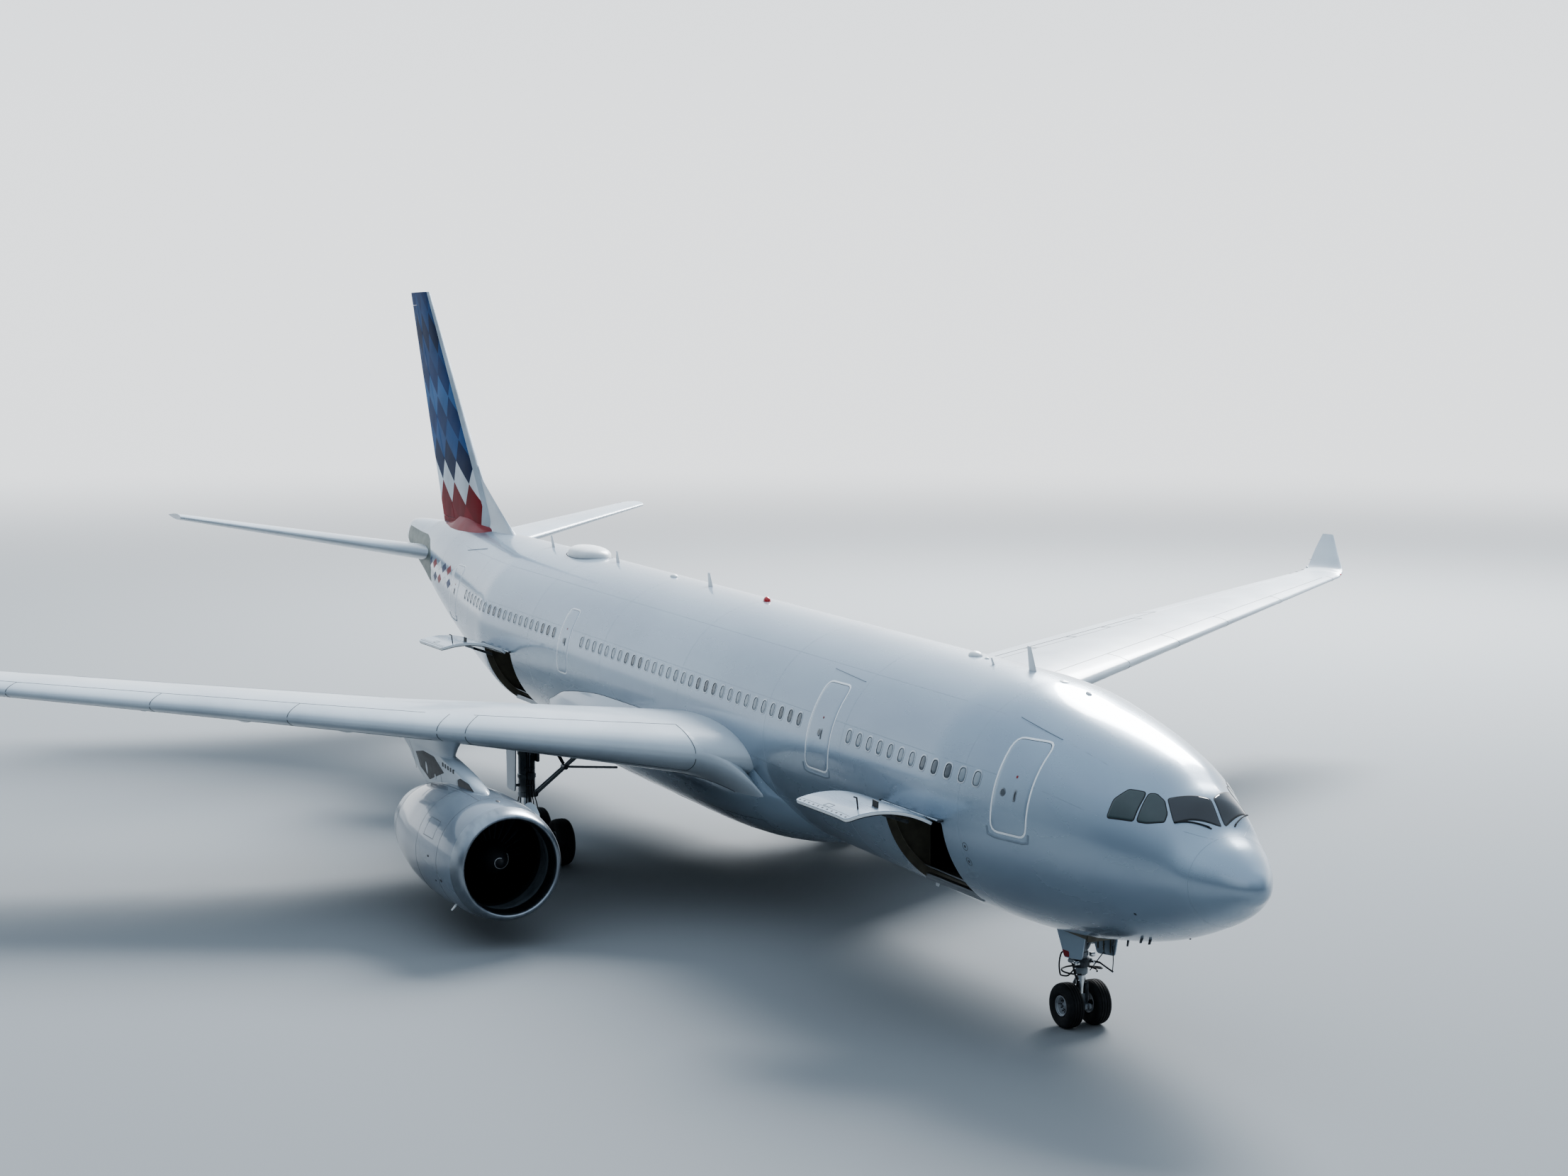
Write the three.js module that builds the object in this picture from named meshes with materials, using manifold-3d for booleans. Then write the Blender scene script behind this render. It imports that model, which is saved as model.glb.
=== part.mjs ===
// A twin-engined wide body airliner parked on its landing gear, made as a 1:2 scale model.
// The sizes below are those of the full-size aircraft, in metres: s runs aft from the nose tip,
// y runs to port and z runs up from the ground. The model's own frame is in millimetres:
// +X forward, +Y to port, +Z up, with its origin on the ground below the middle of the box it fills.
import * as THREE from "three";
import { mergeVertices } from "three/addons/utils/BufferGeometryUtils.js";
import Module from "manifold-3d";

const wasm = await Module();
wasm.setup();

const modelScale = 1 / 2;
const mm = 1000 * modelScale; // model millimetres for each full-size metre
const overallLength = 58.82;
const seatGap = 0.3 / mm; // between pieces that rest on each other
const moveGap = 6 / mm; // between pieces that move past each other

const hullRadius = 2.82;
const hullSides = 32;
const noseHeight = 4.862; // height of the fuselage centreline at the nose tip
const noseDownSlope = 0.01633; // the centreline rises this much for each metre aft
const skinDepth = 0.15; // thickness of doors and glazing
const centreline = (s) => noseHeight + noseDownSlope * s;

const paint = {
  silver: { color: 0xc3c8cd, roughness: 0.32, metalness: 0.45 },
  paleGrey: { color: 0xd4d7d9, roughness: 0.4, metalness: 0.1 },
  bareMetal: { color: 0xb9bdc1, roughness: 0.25, metalness: 0.95 },
  darkBlue: { color: 0x24364f, roughness: 0.4, metalness: 0.2 },
  red: { color: 0xb3262f, roughness: 0.4, metalness: 0.1 },
  white: { color: 0xe9ebec, roughness: 0.4, metalness: 0.05 },
  gearGrey: { color: 0xa9adb1, roughness: 0.45, metalness: 0.4 },
  tyre: { color: 0x1b1c1e, roughness: 0.85, metalness: 0 },
  glass: { color: 0x14181d, roughness: 0.08, metalness: 0.1 },
  fan: { color: 0x3b3f45, roughness: 0.35, metalness: 0.85 },
  core: { color: 0x55585c, roughness: 0.6, metalness: 0.7 },
};

// Point of the model's frame, in millimetres, for a full-size place.
function place(s, y, z) {
  return new THREE.Vector3((overallLength / 2 - s) * mm, y * mm, z * mm);
}

// The solid of a closed geometry that is in millimetres, whichever way its faces were wound.
function solidOf(geometry) {
  const bare = geometry.clone();
  bare.deleteAttribute("normal");
  bare.deleteAttribute("uv");
  const merged = mergeVertices(bare, 1e-3);
  const position = merged.attributes.position;
  const index = Uint32Array.from(merged.index.array);
  let volume = 0;
  const [a, b, c] = [new THREE.Vector3(), new THREE.Vector3(), new THREE.Vector3()];
  for (let i = 0; i < index.length; i += 3) {
    a.fromBufferAttribute(position, index[i]);
    b.fromBufferAttribute(position, index[i + 1]);
    c.fromBufferAttribute(position, index[i + 2]);
    volume += a.dot(b.cross(c));
  }
  if (volume < 0) {
    for (let i = 0; i < index.length; i += 3) {
      [index[i + 1], index[i + 2]] = [index[i + 2], index[i + 1]];
    }
  }
  return new wasm.Manifold(
    new wasm.Mesh({ numProp: 3, vertProperties: Float32Array.from(position.array), triVerts: index }),
  );
}

function joined(solids) {
  return solids.reduce((sum, one) => sum.add(one));
}

// The named mesh of a solid.
function meshOf(name, solid, finish) {
  const made = solid.getMesh();
  const geometry = new THREE.BufferGeometry();
  geometry.setAttribute("position", new THREE.BufferAttribute(Float32Array.from(made.vertProperties), 3));
  geometry.setIndex(new THREE.BufferAttribute(Uint32Array.from(made.triVerts), 1));
  geometry.computeVertexNormals();
  const mesh = new THREE.Mesh(geometry, new THREE.MeshStandardMaterial(finish));
  mesh.name = name;
  return mesh;
}

// A solid through closed rings of full-size places, flat at both ends.
function loft(rings) {
  const count = rings[0].length;
  const points = rings.flat().map(([s, y, z]) => place(s, y, z));
  const index = [];
  for (let ring = 0; ring + 1 < rings.length; ring++) {
    for (let i = 0; i < count; i++) {
      const j = (i + 1) % count;
      const [p, q, r, t] = [ring * count + i, ring * count + j, (ring + 1) * count + i, (ring + 1) * count + j];
      index.push(p, q, r, q, t, r);
    }
  }
  for (const [ring, turn] of [[0, true], [rings.length - 1, false]]) {
    const middle = new THREE.Vector3();
    for (let i = 0; i < count; i++) middle.add(points[ring * count + i]);
    const hub = points.push(middle.divideScalar(count)) - 1;
    for (let i = 0; i < count; i++) {
      const [p, q] = [ring * count + i, ring * count + ((i + 1) % count)];
      index.push(hub, turn ? q : p, turn ? p : q);
    }
  }
  const geometry = new THREE.BufferGeometry().setFromPoints(points);
  geometry.setIndex(index);
  return solidOf(geometry);
}

// A round bar between two full-size places.
function rod(from, to, radius, endRadius = radius, sides = rodSides) {
  const [a, b] = [place(...from), place(...to)];
  const along = b.clone().sub(a);
  const geometry = new THREE.CylinderGeometry(endRadius * mm, radius * mm, along.length(), sides);
  geometry.applyQuaternion(
    new THREE.Quaternion().setFromUnitVectors(new THREE.Vector3(0, 1, 0), along.clone().normalize()),
  );
  geometry.translate(...a.add(b).multiplyScalar(0.5).toArray());
  return solidOf(geometry);
}

// The radius of a faceted bore that a bar of this radius turns in.
const rodSides = 12;
function boreFor(radius) {
  return (radius + seatGap) / Math.cos(Math.PI / rodSides);
}

function block([s0, s1], [y0, y1], [z0, z1]) {
  const geometry = new THREE.BoxGeometry((s1 - s0) * mm, Math.abs(y1 - y0) * mm, (z1 - z0) * mm);
  geometry.translate(...place((s0 + s1) / 2, (y0 + y1) / 2, (z0 + z1) / 2).toArray());
  return solidOf(geometry);
}

// A shape drawn in millimetres through full-size corners, each rounded by an arc of its radius.
function roundedShape(corners, radius = 0) {
  const shape = new THREE.Shape();
  corners.forEach((corner, i) => {
    const [here, before, after] = [i, i - 1, i + 1].map(
      (n) => new THREE.Vector2(...corners[(n + corners.length) % corners.length]).multiplyScalar(mm),
    );
    const start = here.clone().add(before.sub(here).setLength(radius * mm || 1e-9));
    const end = here.clone().add(after.sub(here).setLength(radius * mm || 1e-9));
    if (i === 0) shape.moveTo(start.x, start.y);
    else shape.lineTo(start.x, start.y);
    if (radius) shape.quadraticCurveTo(here.x, here.y, end.x, end.y);
  });
  shape.closePath();
  return shape;
}

// A plate with its outline in side view, given as [s, z] corners, from y0 to y1.
function sidePlate(corners, y0, y1, radius = 0) {
  const shape = roundedShape(corners.map(([s, z]) => [-s, z]), radius);
  const geometry = new THREE.ExtrudeGeometry(shape, {
    depth: (y1 - y0) * mm,
    bevelEnabled: false,
    curveSegments: 4,
  });
  geometry.rotateX(Math.PI / 2);
  geometry.translate((overallLength / 2) * mm, y1 * mm, 0);
  return solidOf(geometry);
}

// A body turned about a fore-and-aft axis at [y, z], from [s, radius] points.
function turned(profile, [y, z], sides = 28, grow = 0) {
  const points = profile.map(([s, r]) => new THREE.Vector2(r ? (r + grow) * mm : 0, -s * mm));
  const geometry = new THREE.LatheGeometry(points, sides);
  geometry.rotateZ(-Math.PI / 2);
  geometry.translate((overallLength / 2) * mm, y * mm, z * mm);
  return solidOf(geometry);
}

// A tyre, rim or hub turned about an athwartships axis at [s, z], from [y, radius] points.
// Half a segment of turn puts a flat, and not a corner, at the bottom.
function wheelTurned(profile, [s, y, z], sides) {
  const points = profile.map(([across, r]) => new THREE.Vector2(r * mm, across * mm));
  const geometry = new THREE.LatheGeometry(points, sides);
  geometry.rotateY(Math.PI / sides);
  geometry.translate(...place(s, y, z).toArray());
  return solidOf(geometry);
}

// Fuselage

// Stations of the hull: half width, then crown, widest line and keel above the centreline.
const hullTable = [
  // s, halfWidth, crown, waist, keel
  [0, 0.05, -0.39, -0.45, -0.51],
  [0.08, 0.23, -0.18, -0.45, -0.67],
  [0.3, 0.47, 0.02, -0.44, -0.85],
  [0.7, 0.77, 0.29, -0.42, -1.16],
  [1.1, 1.02, 0.48, -0.39, -1.38],
  [1.35, 1.12, 0.63, -0.37, -1.5],
  [1.78, 1.25, 1.13, -0.34, -1.69],
  [2.3, 1.44, 1.41, -0.28, -1.9],
  [3.1, 1.78, 1.8, -0.2, -2.16],
  [4.2, 2.07, 2.15, -0.1, -2.42],
  [5.6, 2.36, 2.46, 0, -2.66],
  [7.6, 2.69, 2.76, 0, -2.8],
  [9, hullRadius, hullRadius, 0, -hullRadius],
  [40.5, hullRadius, hullRadius, 0, -hullRadius],
  [42, 2.66, 2.82, 0.02, -2.56],
  [44, 2.4, 2.82, 0.08, -2.08],
  [46, 2.13, 2.82, 0.2, -1.55],
  [48.5, 1.8, 2.82, 0.5, -0.86],
  [51, 1.42, 2.77, 0.9, -0.23],
  [53, 1.08, 2.7, 1.2, 0.29],
  [54.4, 0.87, 2.64, 1.4, 0.64],
  [56, 0.63, 2.56, 1.67, 1.09],
  [57, 0.45, 2.48, 1.86, 1.41],
  [57.5, 0.28, 2.35, 1.97, 1.66],
];

// One column of a table at a station, along straight lines between its rows.
function tableAt(table, s, column) {
  const last = table.findIndex((row) => row[0] >= s);
  if (last <= 0) return table[last < 0 ? table.length - 1 : 0][column];
  const [a, b] = [table[last - 1], table[last]];
  return a[column] + ((b[column] - a[column]) * (s - a[0])) / (b[0] - a[0]);
}

// The hull's ring at a station: half an ellipse above its widest line and half of one below.
function hullRing(s, grow) {
  const [halfWidth, crown, waist, keel] = [1, 2, 3, 4].map((column) => tableAt(hullTable, s, column));
  const ring = [];
  for (let i = 0; i < hullSides; i++) {
    const angle = (2 * Math.PI * i) / hullSides;
    const rise = Math.sin(angle);
    const height = (rise > 0 ? crown - waist : waist - keel) + grow;
    ring.push([s, Math.cos(angle) * (halfWidth + grow), centreline(s) + waist + rise * height]);
  }
  return ring;
}

function hullSolid(s0, s1, grow = 0) {
  const stations = hullTable.map(([s]) => s).filter((s) => s > s0 + 1e-6 && s < s1 - 1e-6);
  return loft([s0, ...stations, s1].map((s) => hullRing(s, grow)));
}

// A rectangle in side view whose heights are counted from the centreline at its middle.
function sideRect([s0, s1], [low, high], grow = 0) {
  const base = centreline((s0 + s1) / 2);
  return [
    [s0 - grow, base + low - grow],
    [s1 + grow, base + low - grow],
    [s1 + grow, base + high + grow],
    [s0 - grow, base + high + grow],
  ];
}

const cabinDoors = [
  // name, section, s range, heights above the centreline
  { name: "door_1", section: "cockpit_section", along: [5.36, 6.44], heights: [-0.2, 1.78] },
  { name: "door_2", section: "forward_fuselage", along: [13.9, 15.1], heights: [-0.24, 1.83] },
  { name: "door_3", section: "centre_fuselage", along: [32.2, 33.05], heights: [-0.32, 1.6] },
  { name: "door_4", section: "rear_fuselage", along: [45.2, 46.4], heights: [-0.1, 1.68] },
];
const doorCorner = 0.2;

const sectionTable = [
  // name, first and last station
  ["radome", 0, 1.1],
  ["cockpit_section", 1.1, 7.6],
  ["forward_fuselage", 7.6, 17.5],
  ["centre_fuselage", 17.5, 36],
  ["aft_fuselage", 36, 43],
  ["rear_fuselage", 43, 54.4],
  ["tail_cone", 54.4, 57.5],
];
const sections = new Map(
  sectionTable.map(([name, s0, s1]) => [
    name,
    hullSolid(s0 + (name === "radome" ? 0 : seatGap / 2), s1 - (name === "tail_cone" ? 0 : seatGap / 2)),
  ]),
);
const panels = new Map(); // doors and glazing let into the hull, by name

// Lets a panel into a section: the cutter's shape, as deep as the skin.
function letIn(sectionName, panelName, cutterFor) {
  const section = sections.get(sectionName);
  const [, s0, s1] = sectionTable.find(([name]) => name === sectionName);
  const inside = hullSolid(s0, s1, -skinDepth);
  const deeper = hullSolid(s0, s1, -skinDepth - seatGap);
  panels.set(panelName, section.intersect(cutterFor(0)).subtract(inside));
  sections.set(sectionName, section.subtract(cutterFor(seatGap).subtract(deeper)));
}

for (const { name, section, along, heights } of cabinDoors) {
  for (const [side, y0, y1] of [["left", 0.8, 3.2], ["right", -3.2, -0.8]]) {
    letIn(section, `${name}_${side}`, (grow) =>
      sidePlate(sideRect(along, heights, grow), y0 - grow, y1 + grow, doorCorner),
    );
  }
}

// Corners of an outline moved out along its edges' normals. The corners go round anticlockwise.
function grownOutline(corners, grow) {
  return corners.map((corner, i) => {
    const [here, before, after] = [0, corners.length - 1, 1].map(
      (step) => new THREE.Vector2(...corners[(i + step) % corners.length]),
    );
    const [inward, outward] = [here.clone().sub(before).normalize(), after.clone().sub(here).normalize()];
    const normal = new THREE.Vector2(inward.y + outward.y, -inward.x - outward.x);
    normal.multiplyScalar((2 * grow) / normal.lengthSq());
    return [corner[0] + normal.x, corner[1] + normal.y];
  });
}

// The cockpit's glazing: one band of panes right round the nose, drawn in side view.
const glazingOutline = [
  // s, height above the nose's centreline
  [1.15, 0.6],
  [1.9, 0.66],
  [3.2, 0.58],
  [3.22, 1],
  [3.02, 1.26],
  [2.5, 1.22],
  [2.2, 1.16],
  [1.65, 1.17],
];
letIn("cockpit_section", "cockpit_glazing", (grow) =>
  sidePlate(
    grownOutline(glazingOutline, grow).map(([s, rise]) => [s, centreline(s) + rise]),
    -hullRadius,
    hullRadius,
  ),
);

// Cargo holds on the right-hand side, and their doors, hinged along the top edge and standing open.
const cargoTable = [
  { name: "forward", section: "forward_fuselage", along: [8.25, 11], hold: [7.9, 13.4] },
  { name: "aft", section: "aft_fuselage", along: [37.65, 40.4], hold: [36.4, 42] },
];
const cargoDoorAngles = [7.5, 56]; // from level down to the door's top and bottom edges, in degrees
const cargoOpenAngle = 128; // degrees from closed
const cargoDoorDepth = 0.16;
const holdFloor = -2.2;
const holdRoof = -0.42;
const holdHalfWidth = 1.5;
const hingeStandOff = 0.035; // of the cargo doors' hinge pins, outside the skin
const hingeBar = 0.028;
const lugRadius = 0.035;
const lugDepth = 0.22; // into the skin
const lugReach = 0.07; // out past the skin
const lugOffset = 0.05; // from the doorway's end

// A place on the right, by its distance from the hull's axis and its angle below level. The axis
// is taken at the doorway's middle, because the hinge runs level.
function hullPolar(s, axisHeight, radius, degrees) {
  const angle = THREE.MathUtils.degToRad(degrees);
  return [s, -radius * Math.cos(angle), axisHeight - radius * Math.sin(angle)];
}

// The wedge between the door's top and bottom edges, outside a line near the hull's axis.
function cargoWedge([s0, s1], grow) {
  const far = 3.4;
  const [top, bottom] = cargoDoorAngles.map((degrees) => THREE.MathUtils.degToRad(degrees));
  return loft(
    [s0 - grow, s1 + grow].map((s) => {
      const z = centreline(s);
      const edge = (angle, reach, offset) => [
        s,
        -reach * Math.cos(angle) - offset * Math.sin(angle),
        z - reach * Math.sin(angle) + offset * Math.cos(angle),
      ];
      return [edge(top, 1.2, grow), edge(top, far, grow), edge(bottom, far, -grow), edge(bottom, 1.2, -grow)];
    }),
  );
}

const cargoDoors = cargoTable.map(({ name, section, along, hold }) => {
  const hull = sections.get(section);
  const z = centreline((along[0] + along[1]) / 2);
  const inside = hullSolid(along[0] - 0.5, along[1] + 0.5, -cargoDoorDepth);
  const door = hull.intersect(cargoWedge(along, 0)).subtract(inside);
  const doorway = cargoWedge(along, moveGap);
  const room = block(hold, [-holdHalfWidth, holdHalfWidth], [z + holdFloor, z + holdRoof]);
  const [top] = cargoDoorAngles;
  const lugs = [along[0] - lugOffset, along[1] + lugOffset].map((s) =>
    rod(hullPolar(s, z, hullRadius - lugDepth, top), hullPolar(s, z, hullRadius + lugReach, top), lugRadius),
  );
  sections.set(section, joined([hull.subtract(doorway).subtract(room), ...lugs]));
  const middle = hullPolar(0, z, hullRadius + hingeStandOff, top);
  const inset = lugOffset - lugRadius - seatGap;
  const [pinStart, pinEnd] = [along[0] - inset, along[1] + inset].map((s) => [s, middle[1], middle[2]]);
  const arms = [0.2, 0.5, 0.8].map((share) => {
    const s = along[0] + share * (along[1] - along[0]);
    return rod([s, middle[1], middle[2]], hullPolar(s, z, hullRadius - 0.06, top + 3), 0.026, 0.05);
  });
  return { name, door: joined([door, rod(pinStart, pinEnd, hingeBar), ...arms]), hinge: pinStart };
});

// Belly fairing: ellipses about a line below the centreline, with the hull cut out of them.
const fairingCentre = -1.6;
const fairingTable = [
  // s, halfWidth, up, down
  [16.9, 1.9, 1, 1.15],
  [17.6, 2.35, 0.8, 1.36],
  [18.7, 2.72, 3.6, 1.56],
  [20.1, 2.88, 3.9, 1.72],
  [22.2, 2.97, 3.56, 1.8],
  [28.9, 2.97, 2.84, 1.8],
  [32.8, 2.75, 2.33, 1.56],
  [34.8, 2.42, 0.8, 1.34],
  [36.3, 1.9, 0.6, 1.1],
];
const fairingSides = 32;

function fairingSolid(grow = 0) {
  return loft(
    fairingTable.map(([s, halfWidth, up, down]) =>
      Array.from({ length: fairingSides }, (_, i) => {
        const angle = (2 * Math.PI * i) / fairingSides;
        const rise = Math.sin(angle);
        const height = (rise > 0 ? up : down) + grow;
        return [s, Math.cos(angle) * (halfWidth + grow), centreline(s) + fairingCentre + rise * height];
      }),
    ),
  );
}
const bellyFairing = fairingSolid().subtract(hullSolid(10, 43, seatGap));

// Satellite aerial fairing on the crown
const domeMiddle = 37.5;
const dome = [1.35, 0.62, 0.34]; // half length, half width, height above the crown
const domeGeometry = new THREE.SphereGeometry(1, 16, 8);
domeGeometry.scale(dome[0] * mm, dome[1] * mm, (dome[2] + 0.1) * mm);
domeGeometry.translate(...place(domeMiddle, 0, centreline(domeMiddle) + hullRadius - 0.1).toArray());
const satcomRadome = solidOf(domeGeometry).subtract(hullSolid(30, 43, seatGap));

// Wings, tailplane and fin

// Half the thickness of the aerofoil at a share of its chord, for a thickness ratio of 1.
function halfThickness(x) {
  return 5 * (0.2969 * Math.sqrt(x) - 0.126 * x - 0.3516 * x ** 2 + 0.2843 * x ** 3 - 0.1015 * x ** 4);
}
const foilSteps = 8;

// One aerofoil ring. The row gives y, the leading and trailing edges' s, the leading edge's z,
// the incidence in degrees, the thickness ratio, the camber ratio and the cant in degrees.
function foilRing({ y, lead, trail, z, incidence = 0, ratio, camber = 0, cant = 0 }, side, grow) {
  const chord = trail - lead;
  const tilt = Math.tan(THREE.MathUtils.degToRad(incidence));
  const lean = THREE.MathUtils.degToRad(cant);
  const ring = [];
  for (let step = -foilSteps; step <= foilSteps; step++) {
    const x = 0.5 * (1 - Math.cos((Math.PI * Math.abs(step)) / foilSteps));
    const upper = step < 0 ? 1 : -1;
    const normal = step === 0 ? 0 : upper * (halfThickness(x) * ratio * chord + grow);
    const rise = normal + 4 * camber * x * (1 - x) * chord;
    const along = x * chord + (x === 0 ? -grow : 0) + (x === 1 ? grow : 0);
    ring.push([
      lead + along,
      side * (y - rise * Math.sin(lean)),
      z - along * tilt + rise * Math.cos(lean),
    ]);
  }
  return ring;
}

function foilSolid(rows, side, grow = 0) {
  return loft(rows.map((row) => foilRing(row, side, grow)));
}

// The middle of the aerofoil at a share of the chord, at any span, and half its thickness there.
function foilMiddle(rows, span, share, key = "y") {
  const next = rows.findIndex((row) => row[key] >= span);
  const [a, b] = [rows[Math.max(next - 1, 0)], rows[Math.max(next, 1)]];
  const part = (span - a[key]) / (b[key] - a[key]);
  const mix = (name) => (a[name] ?? 0) + ((b[name] ?? 0) - (a[name] ?? 0)) * part;
  const [lead, trail] = [mix("lead"), mix("trail")];
  const chord = trail - lead;
  const tilt = Math.tan(THREE.MathUtils.degToRad(mix("incidence")));
  const rise = 4 * mix("camber") * share * (1 - share) * chord;
  return {
    s: lead + share * chord,
    y: mix("y"),
    z: mix("z") - share * chord * tilt + rise,
    half: halfThickness(share) * mix("ratio") * chord,
  };
}

const wingLead = (y) => 16.872 + 0.613 * y;
const wingLeadHeight = (y) => 4.168 + 0.085 * y;
const wingRows = [
  // y, trailing edge, incidence, thickness ratio
  [2.3, 29.88, 3, 0.15],
  [5.5, 30.1, 2.2, 0.135],
  [9.6, 30.35, 1.2, 0.118],
  [16, 32.54, 0.5, 0.108],
  [23, 34.93, -0.3, 0.104],
  [29.2, 37.05, -1, 0.1],
].map(([y, trail, incidence, ratio]) => ({
  y,
  lead: wingLead(y),
  trail,
  z: wingLeadHeight(y),
  incidence,
  ratio,
  camber: 0.015,
}));
const wingletRows = [
  { y: 29.55, lead: 35.05, trail: 37.2, z: 6.84, ratio: 0.09, cant: 42 },
  { y: 29.83, lead: 35.7, trail: 37.18, z: 7.4, ratio: 0.085, cant: 68 },
  { y: 30.12, lead: 36.39, trail: 37.04, z: 8.1, ratio: 0.08, cant: 76 },
];

const tailRows = [
  { y: 0.7, lead: 51.44, trail: 56.96, z: 7.17, incidence: 0, ratio: 0.11 },
  { y: 9.7, lead: 56.5, trail: overallLength, z: 8.6, incidence: 0.6, ratio: 0.095 },
];
const finTop = 17.4;
const finRows = [
  // the fin's span is its height, so its rows lie level and their thickness runs across
  { y: 0, z: 7.6, lead: 45.9, trail: 53.1, ratio: 0.1 },
  { y: 0, z: 8.6, lead: 47.35, trail: 53.5, ratio: 0.1 },
  { y: 0, z: finTop, lead: 55.15, trail: 57.55, ratio: 0.1 },
].map((row) => ({ ...row, cant: 90 }));
const dorsalOutline = [
  // s, z
  [44.9, 8.35],
  [46.5, 9.12],
  [47.7, 9.73],
  [48.6, 10.2],
  [49.2, 10.75],
  [50.4, 10.75],
  [50.4, 8],
  [44.9, 8],
];

const flapFairings = [
  // y, length, radius
  [6.9, 4.4, 0.34],
  [11, 4.4, 0.33],
  [13.6, 4.2, 0.32],
  [16.2, 3.8, 0.28],
  [18.4, 3, 0.22],
];
const fairingDepth = 1.5; // height over width
const fairingDrop = 1.3; // below the foil's middle, as a share of the radius
const fairingAft = 0.9; // of the fairing's middle from the point at this share of the chord
const fairingShare = 0.74;

// A long teardrop below the wing's trailing edge.
function flapFairing([y, length, radius], side) {
  const { s, z } = foilMiddle(wingRows, y, fairingShare);
  const geometry = new THREE.SphereGeometry(1, 8, 8);
  geometry.scale((length / 2) * mm, radius * mm, radius * fairingDepth * mm);
  geometry.translate(...place(s + fairingAft, side * y, z - fairingDrop * radius).toArray());
  return solidOf(geometry);
}

// A block whose edges lie along the hinge line, the way aft and the way across both, in millimetres.
function framedBlock(origin, along, aft, [a0, a1], [b0, b1], halfDepth) {
  const across = new THREE.Vector3().crossVectors(along, aft);
  const geometry = new THREE.BoxGeometry(a1 - a0, b1 - b0, 2 * halfDepth);
  geometry.translate((a0 + a1) / 2, (b0 + b1) / 2, 0);
  geometry.applyMatrix4(new THREE.Matrix4().makeBasis(along, aft, across).setPosition(origin));
  return solidOf(geometry);
}

// A surface hinged along a line of the aerofoil, from one span to another. It returns what is left
// of the whole, and the hinged piece, which has a round nose on the hinge line and a pin at each end.
// Its ends are square to the hinge, or level where the hinge line stands up.
const hingeCover = 0.88; // the nose's radius, as a share of the aerofoil's half thickness
const hingeReach = 3; // past the trailing edge
function hinged(whole, rows, side, { from, to, share, endGap = 0 }) {
  const upright = endGap > 0;
  const [low, high] = [from, to].map((span) => foilMiddle(rows, span, share, upright ? "z" : "y"));
  const [start, finish] = [low, high].map(({ s, y, z }) => [s, side * y, z]);
  const [a, b] = [place(...start), place(...finish)];
  const along = b.clone().sub(a);
  const span = along.length();
  along.normalize();
  const aft = new THREE.Vector3(-1, 0, 0).addScaledVector(along, along.x).normalize();
  const region = (ahead, grow) => {
    if (!upright) {
      return framedBlock(a, along, aft, [-grow * mm, span + grow * mm], [-ahead * mm, hingeReach * mm], hingeReach * mm);
    }
    const lean = (finish[0] - start[0]) / (finish[2] - start[2]);
    const room = grow + (ahead ? endGap : 0);
    const [bottom, top] = [from - room, to + room];
    const line = (z) => start[0] + (z - from) * lean - ahead / Math.cos(Math.atan(lean));
    const corners = [
      [line(bottom), bottom],
      [line(bottom) + hingeReach, bottom],
      [line(top) + hingeReach, top],
      [line(top), top],
    ];
    return sidePlate(corners, -hingeReach, hingeReach);
  };
  const point = (distance) => {
    const share = (distance * mm) / span;
    return start.map((value, i) => value + (finish[i] - value) * share);
  };
  const full = span / mm;
  const pinRadius = 0.3 * high.half;
  const noseRadius = low.half * hingeCover;
  // level end walls stand off a leaning hinge line by this angle from square
  const slant = Math.asin(Math.abs(upright ? along.x : 0));
  const inset = (room, radius) => (room + radius * Math.sin(slant)) / Math.cos(slant);
  const pin = rod(
    point(inset(seatGap - endGap, pinRadius)),
    point(full - inset(seatGap - endGap, pinRadius)),
    pinRadius,
  );
  const nose = rod(
    point(inset(moveGap, noseRadius)),
    point(full - inset(moveGap, noseRadius)),
    noseRadius,
    high.half * hingeCover,
  );
  return {
    rest: whole.subtract(region(Math.max(low.half, high.half) + moveGap, 0)),
    piece: whole.intersect(region(0, -moveGap)).add(nose).add(pin),
    hinge: { start, finish },
  };
}

// Flat pads for the three jacks that lift the aircraft
const padRadius = 0.12;
const padDepth = 0.05; // below the skin
const noseJack = { s: 4.9, y: 0 };
noseJack.face = centreline(noseJack.s) + tableAt(hullTable, noseJack.s, 4) - padDepth;
const wingJack = foilMiddle(wingRows, 8, 0.5);
wingJack.face = wingJack.z - wingJack.half - padDepth;

const joints = [];
const parts = [];
function addPart(name, solid, finish) {
  parts.push(meshOf(name, solid, finish));
}

// A joint's point in metres and its unit direction, both in the model's frame.
function addJoint(name, child, from, to) {
  const [a, b] = [place(...from), place(...to)];
  const axis = b.clone().sub(a).normalize();
  joints.push({ name, child, point: a.multiplyScalar(0.001).toArray(), axis: axis.toArray() });
}

const aileronTable = [
  { name: "inner", from: 19.4, to: 24.4, share: 0.75 },
  { name: "outer", from: 24.5, to: 28.3, share: 0.75 },
];
const hullGrown = hullSolid(10, 43, seatGap);
const rearGrown = hullSolid(41.5, 57.5, seatGap);
const fairingGrown = fairingSolid(seatGap);
const wingWhole = new Map();

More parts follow.
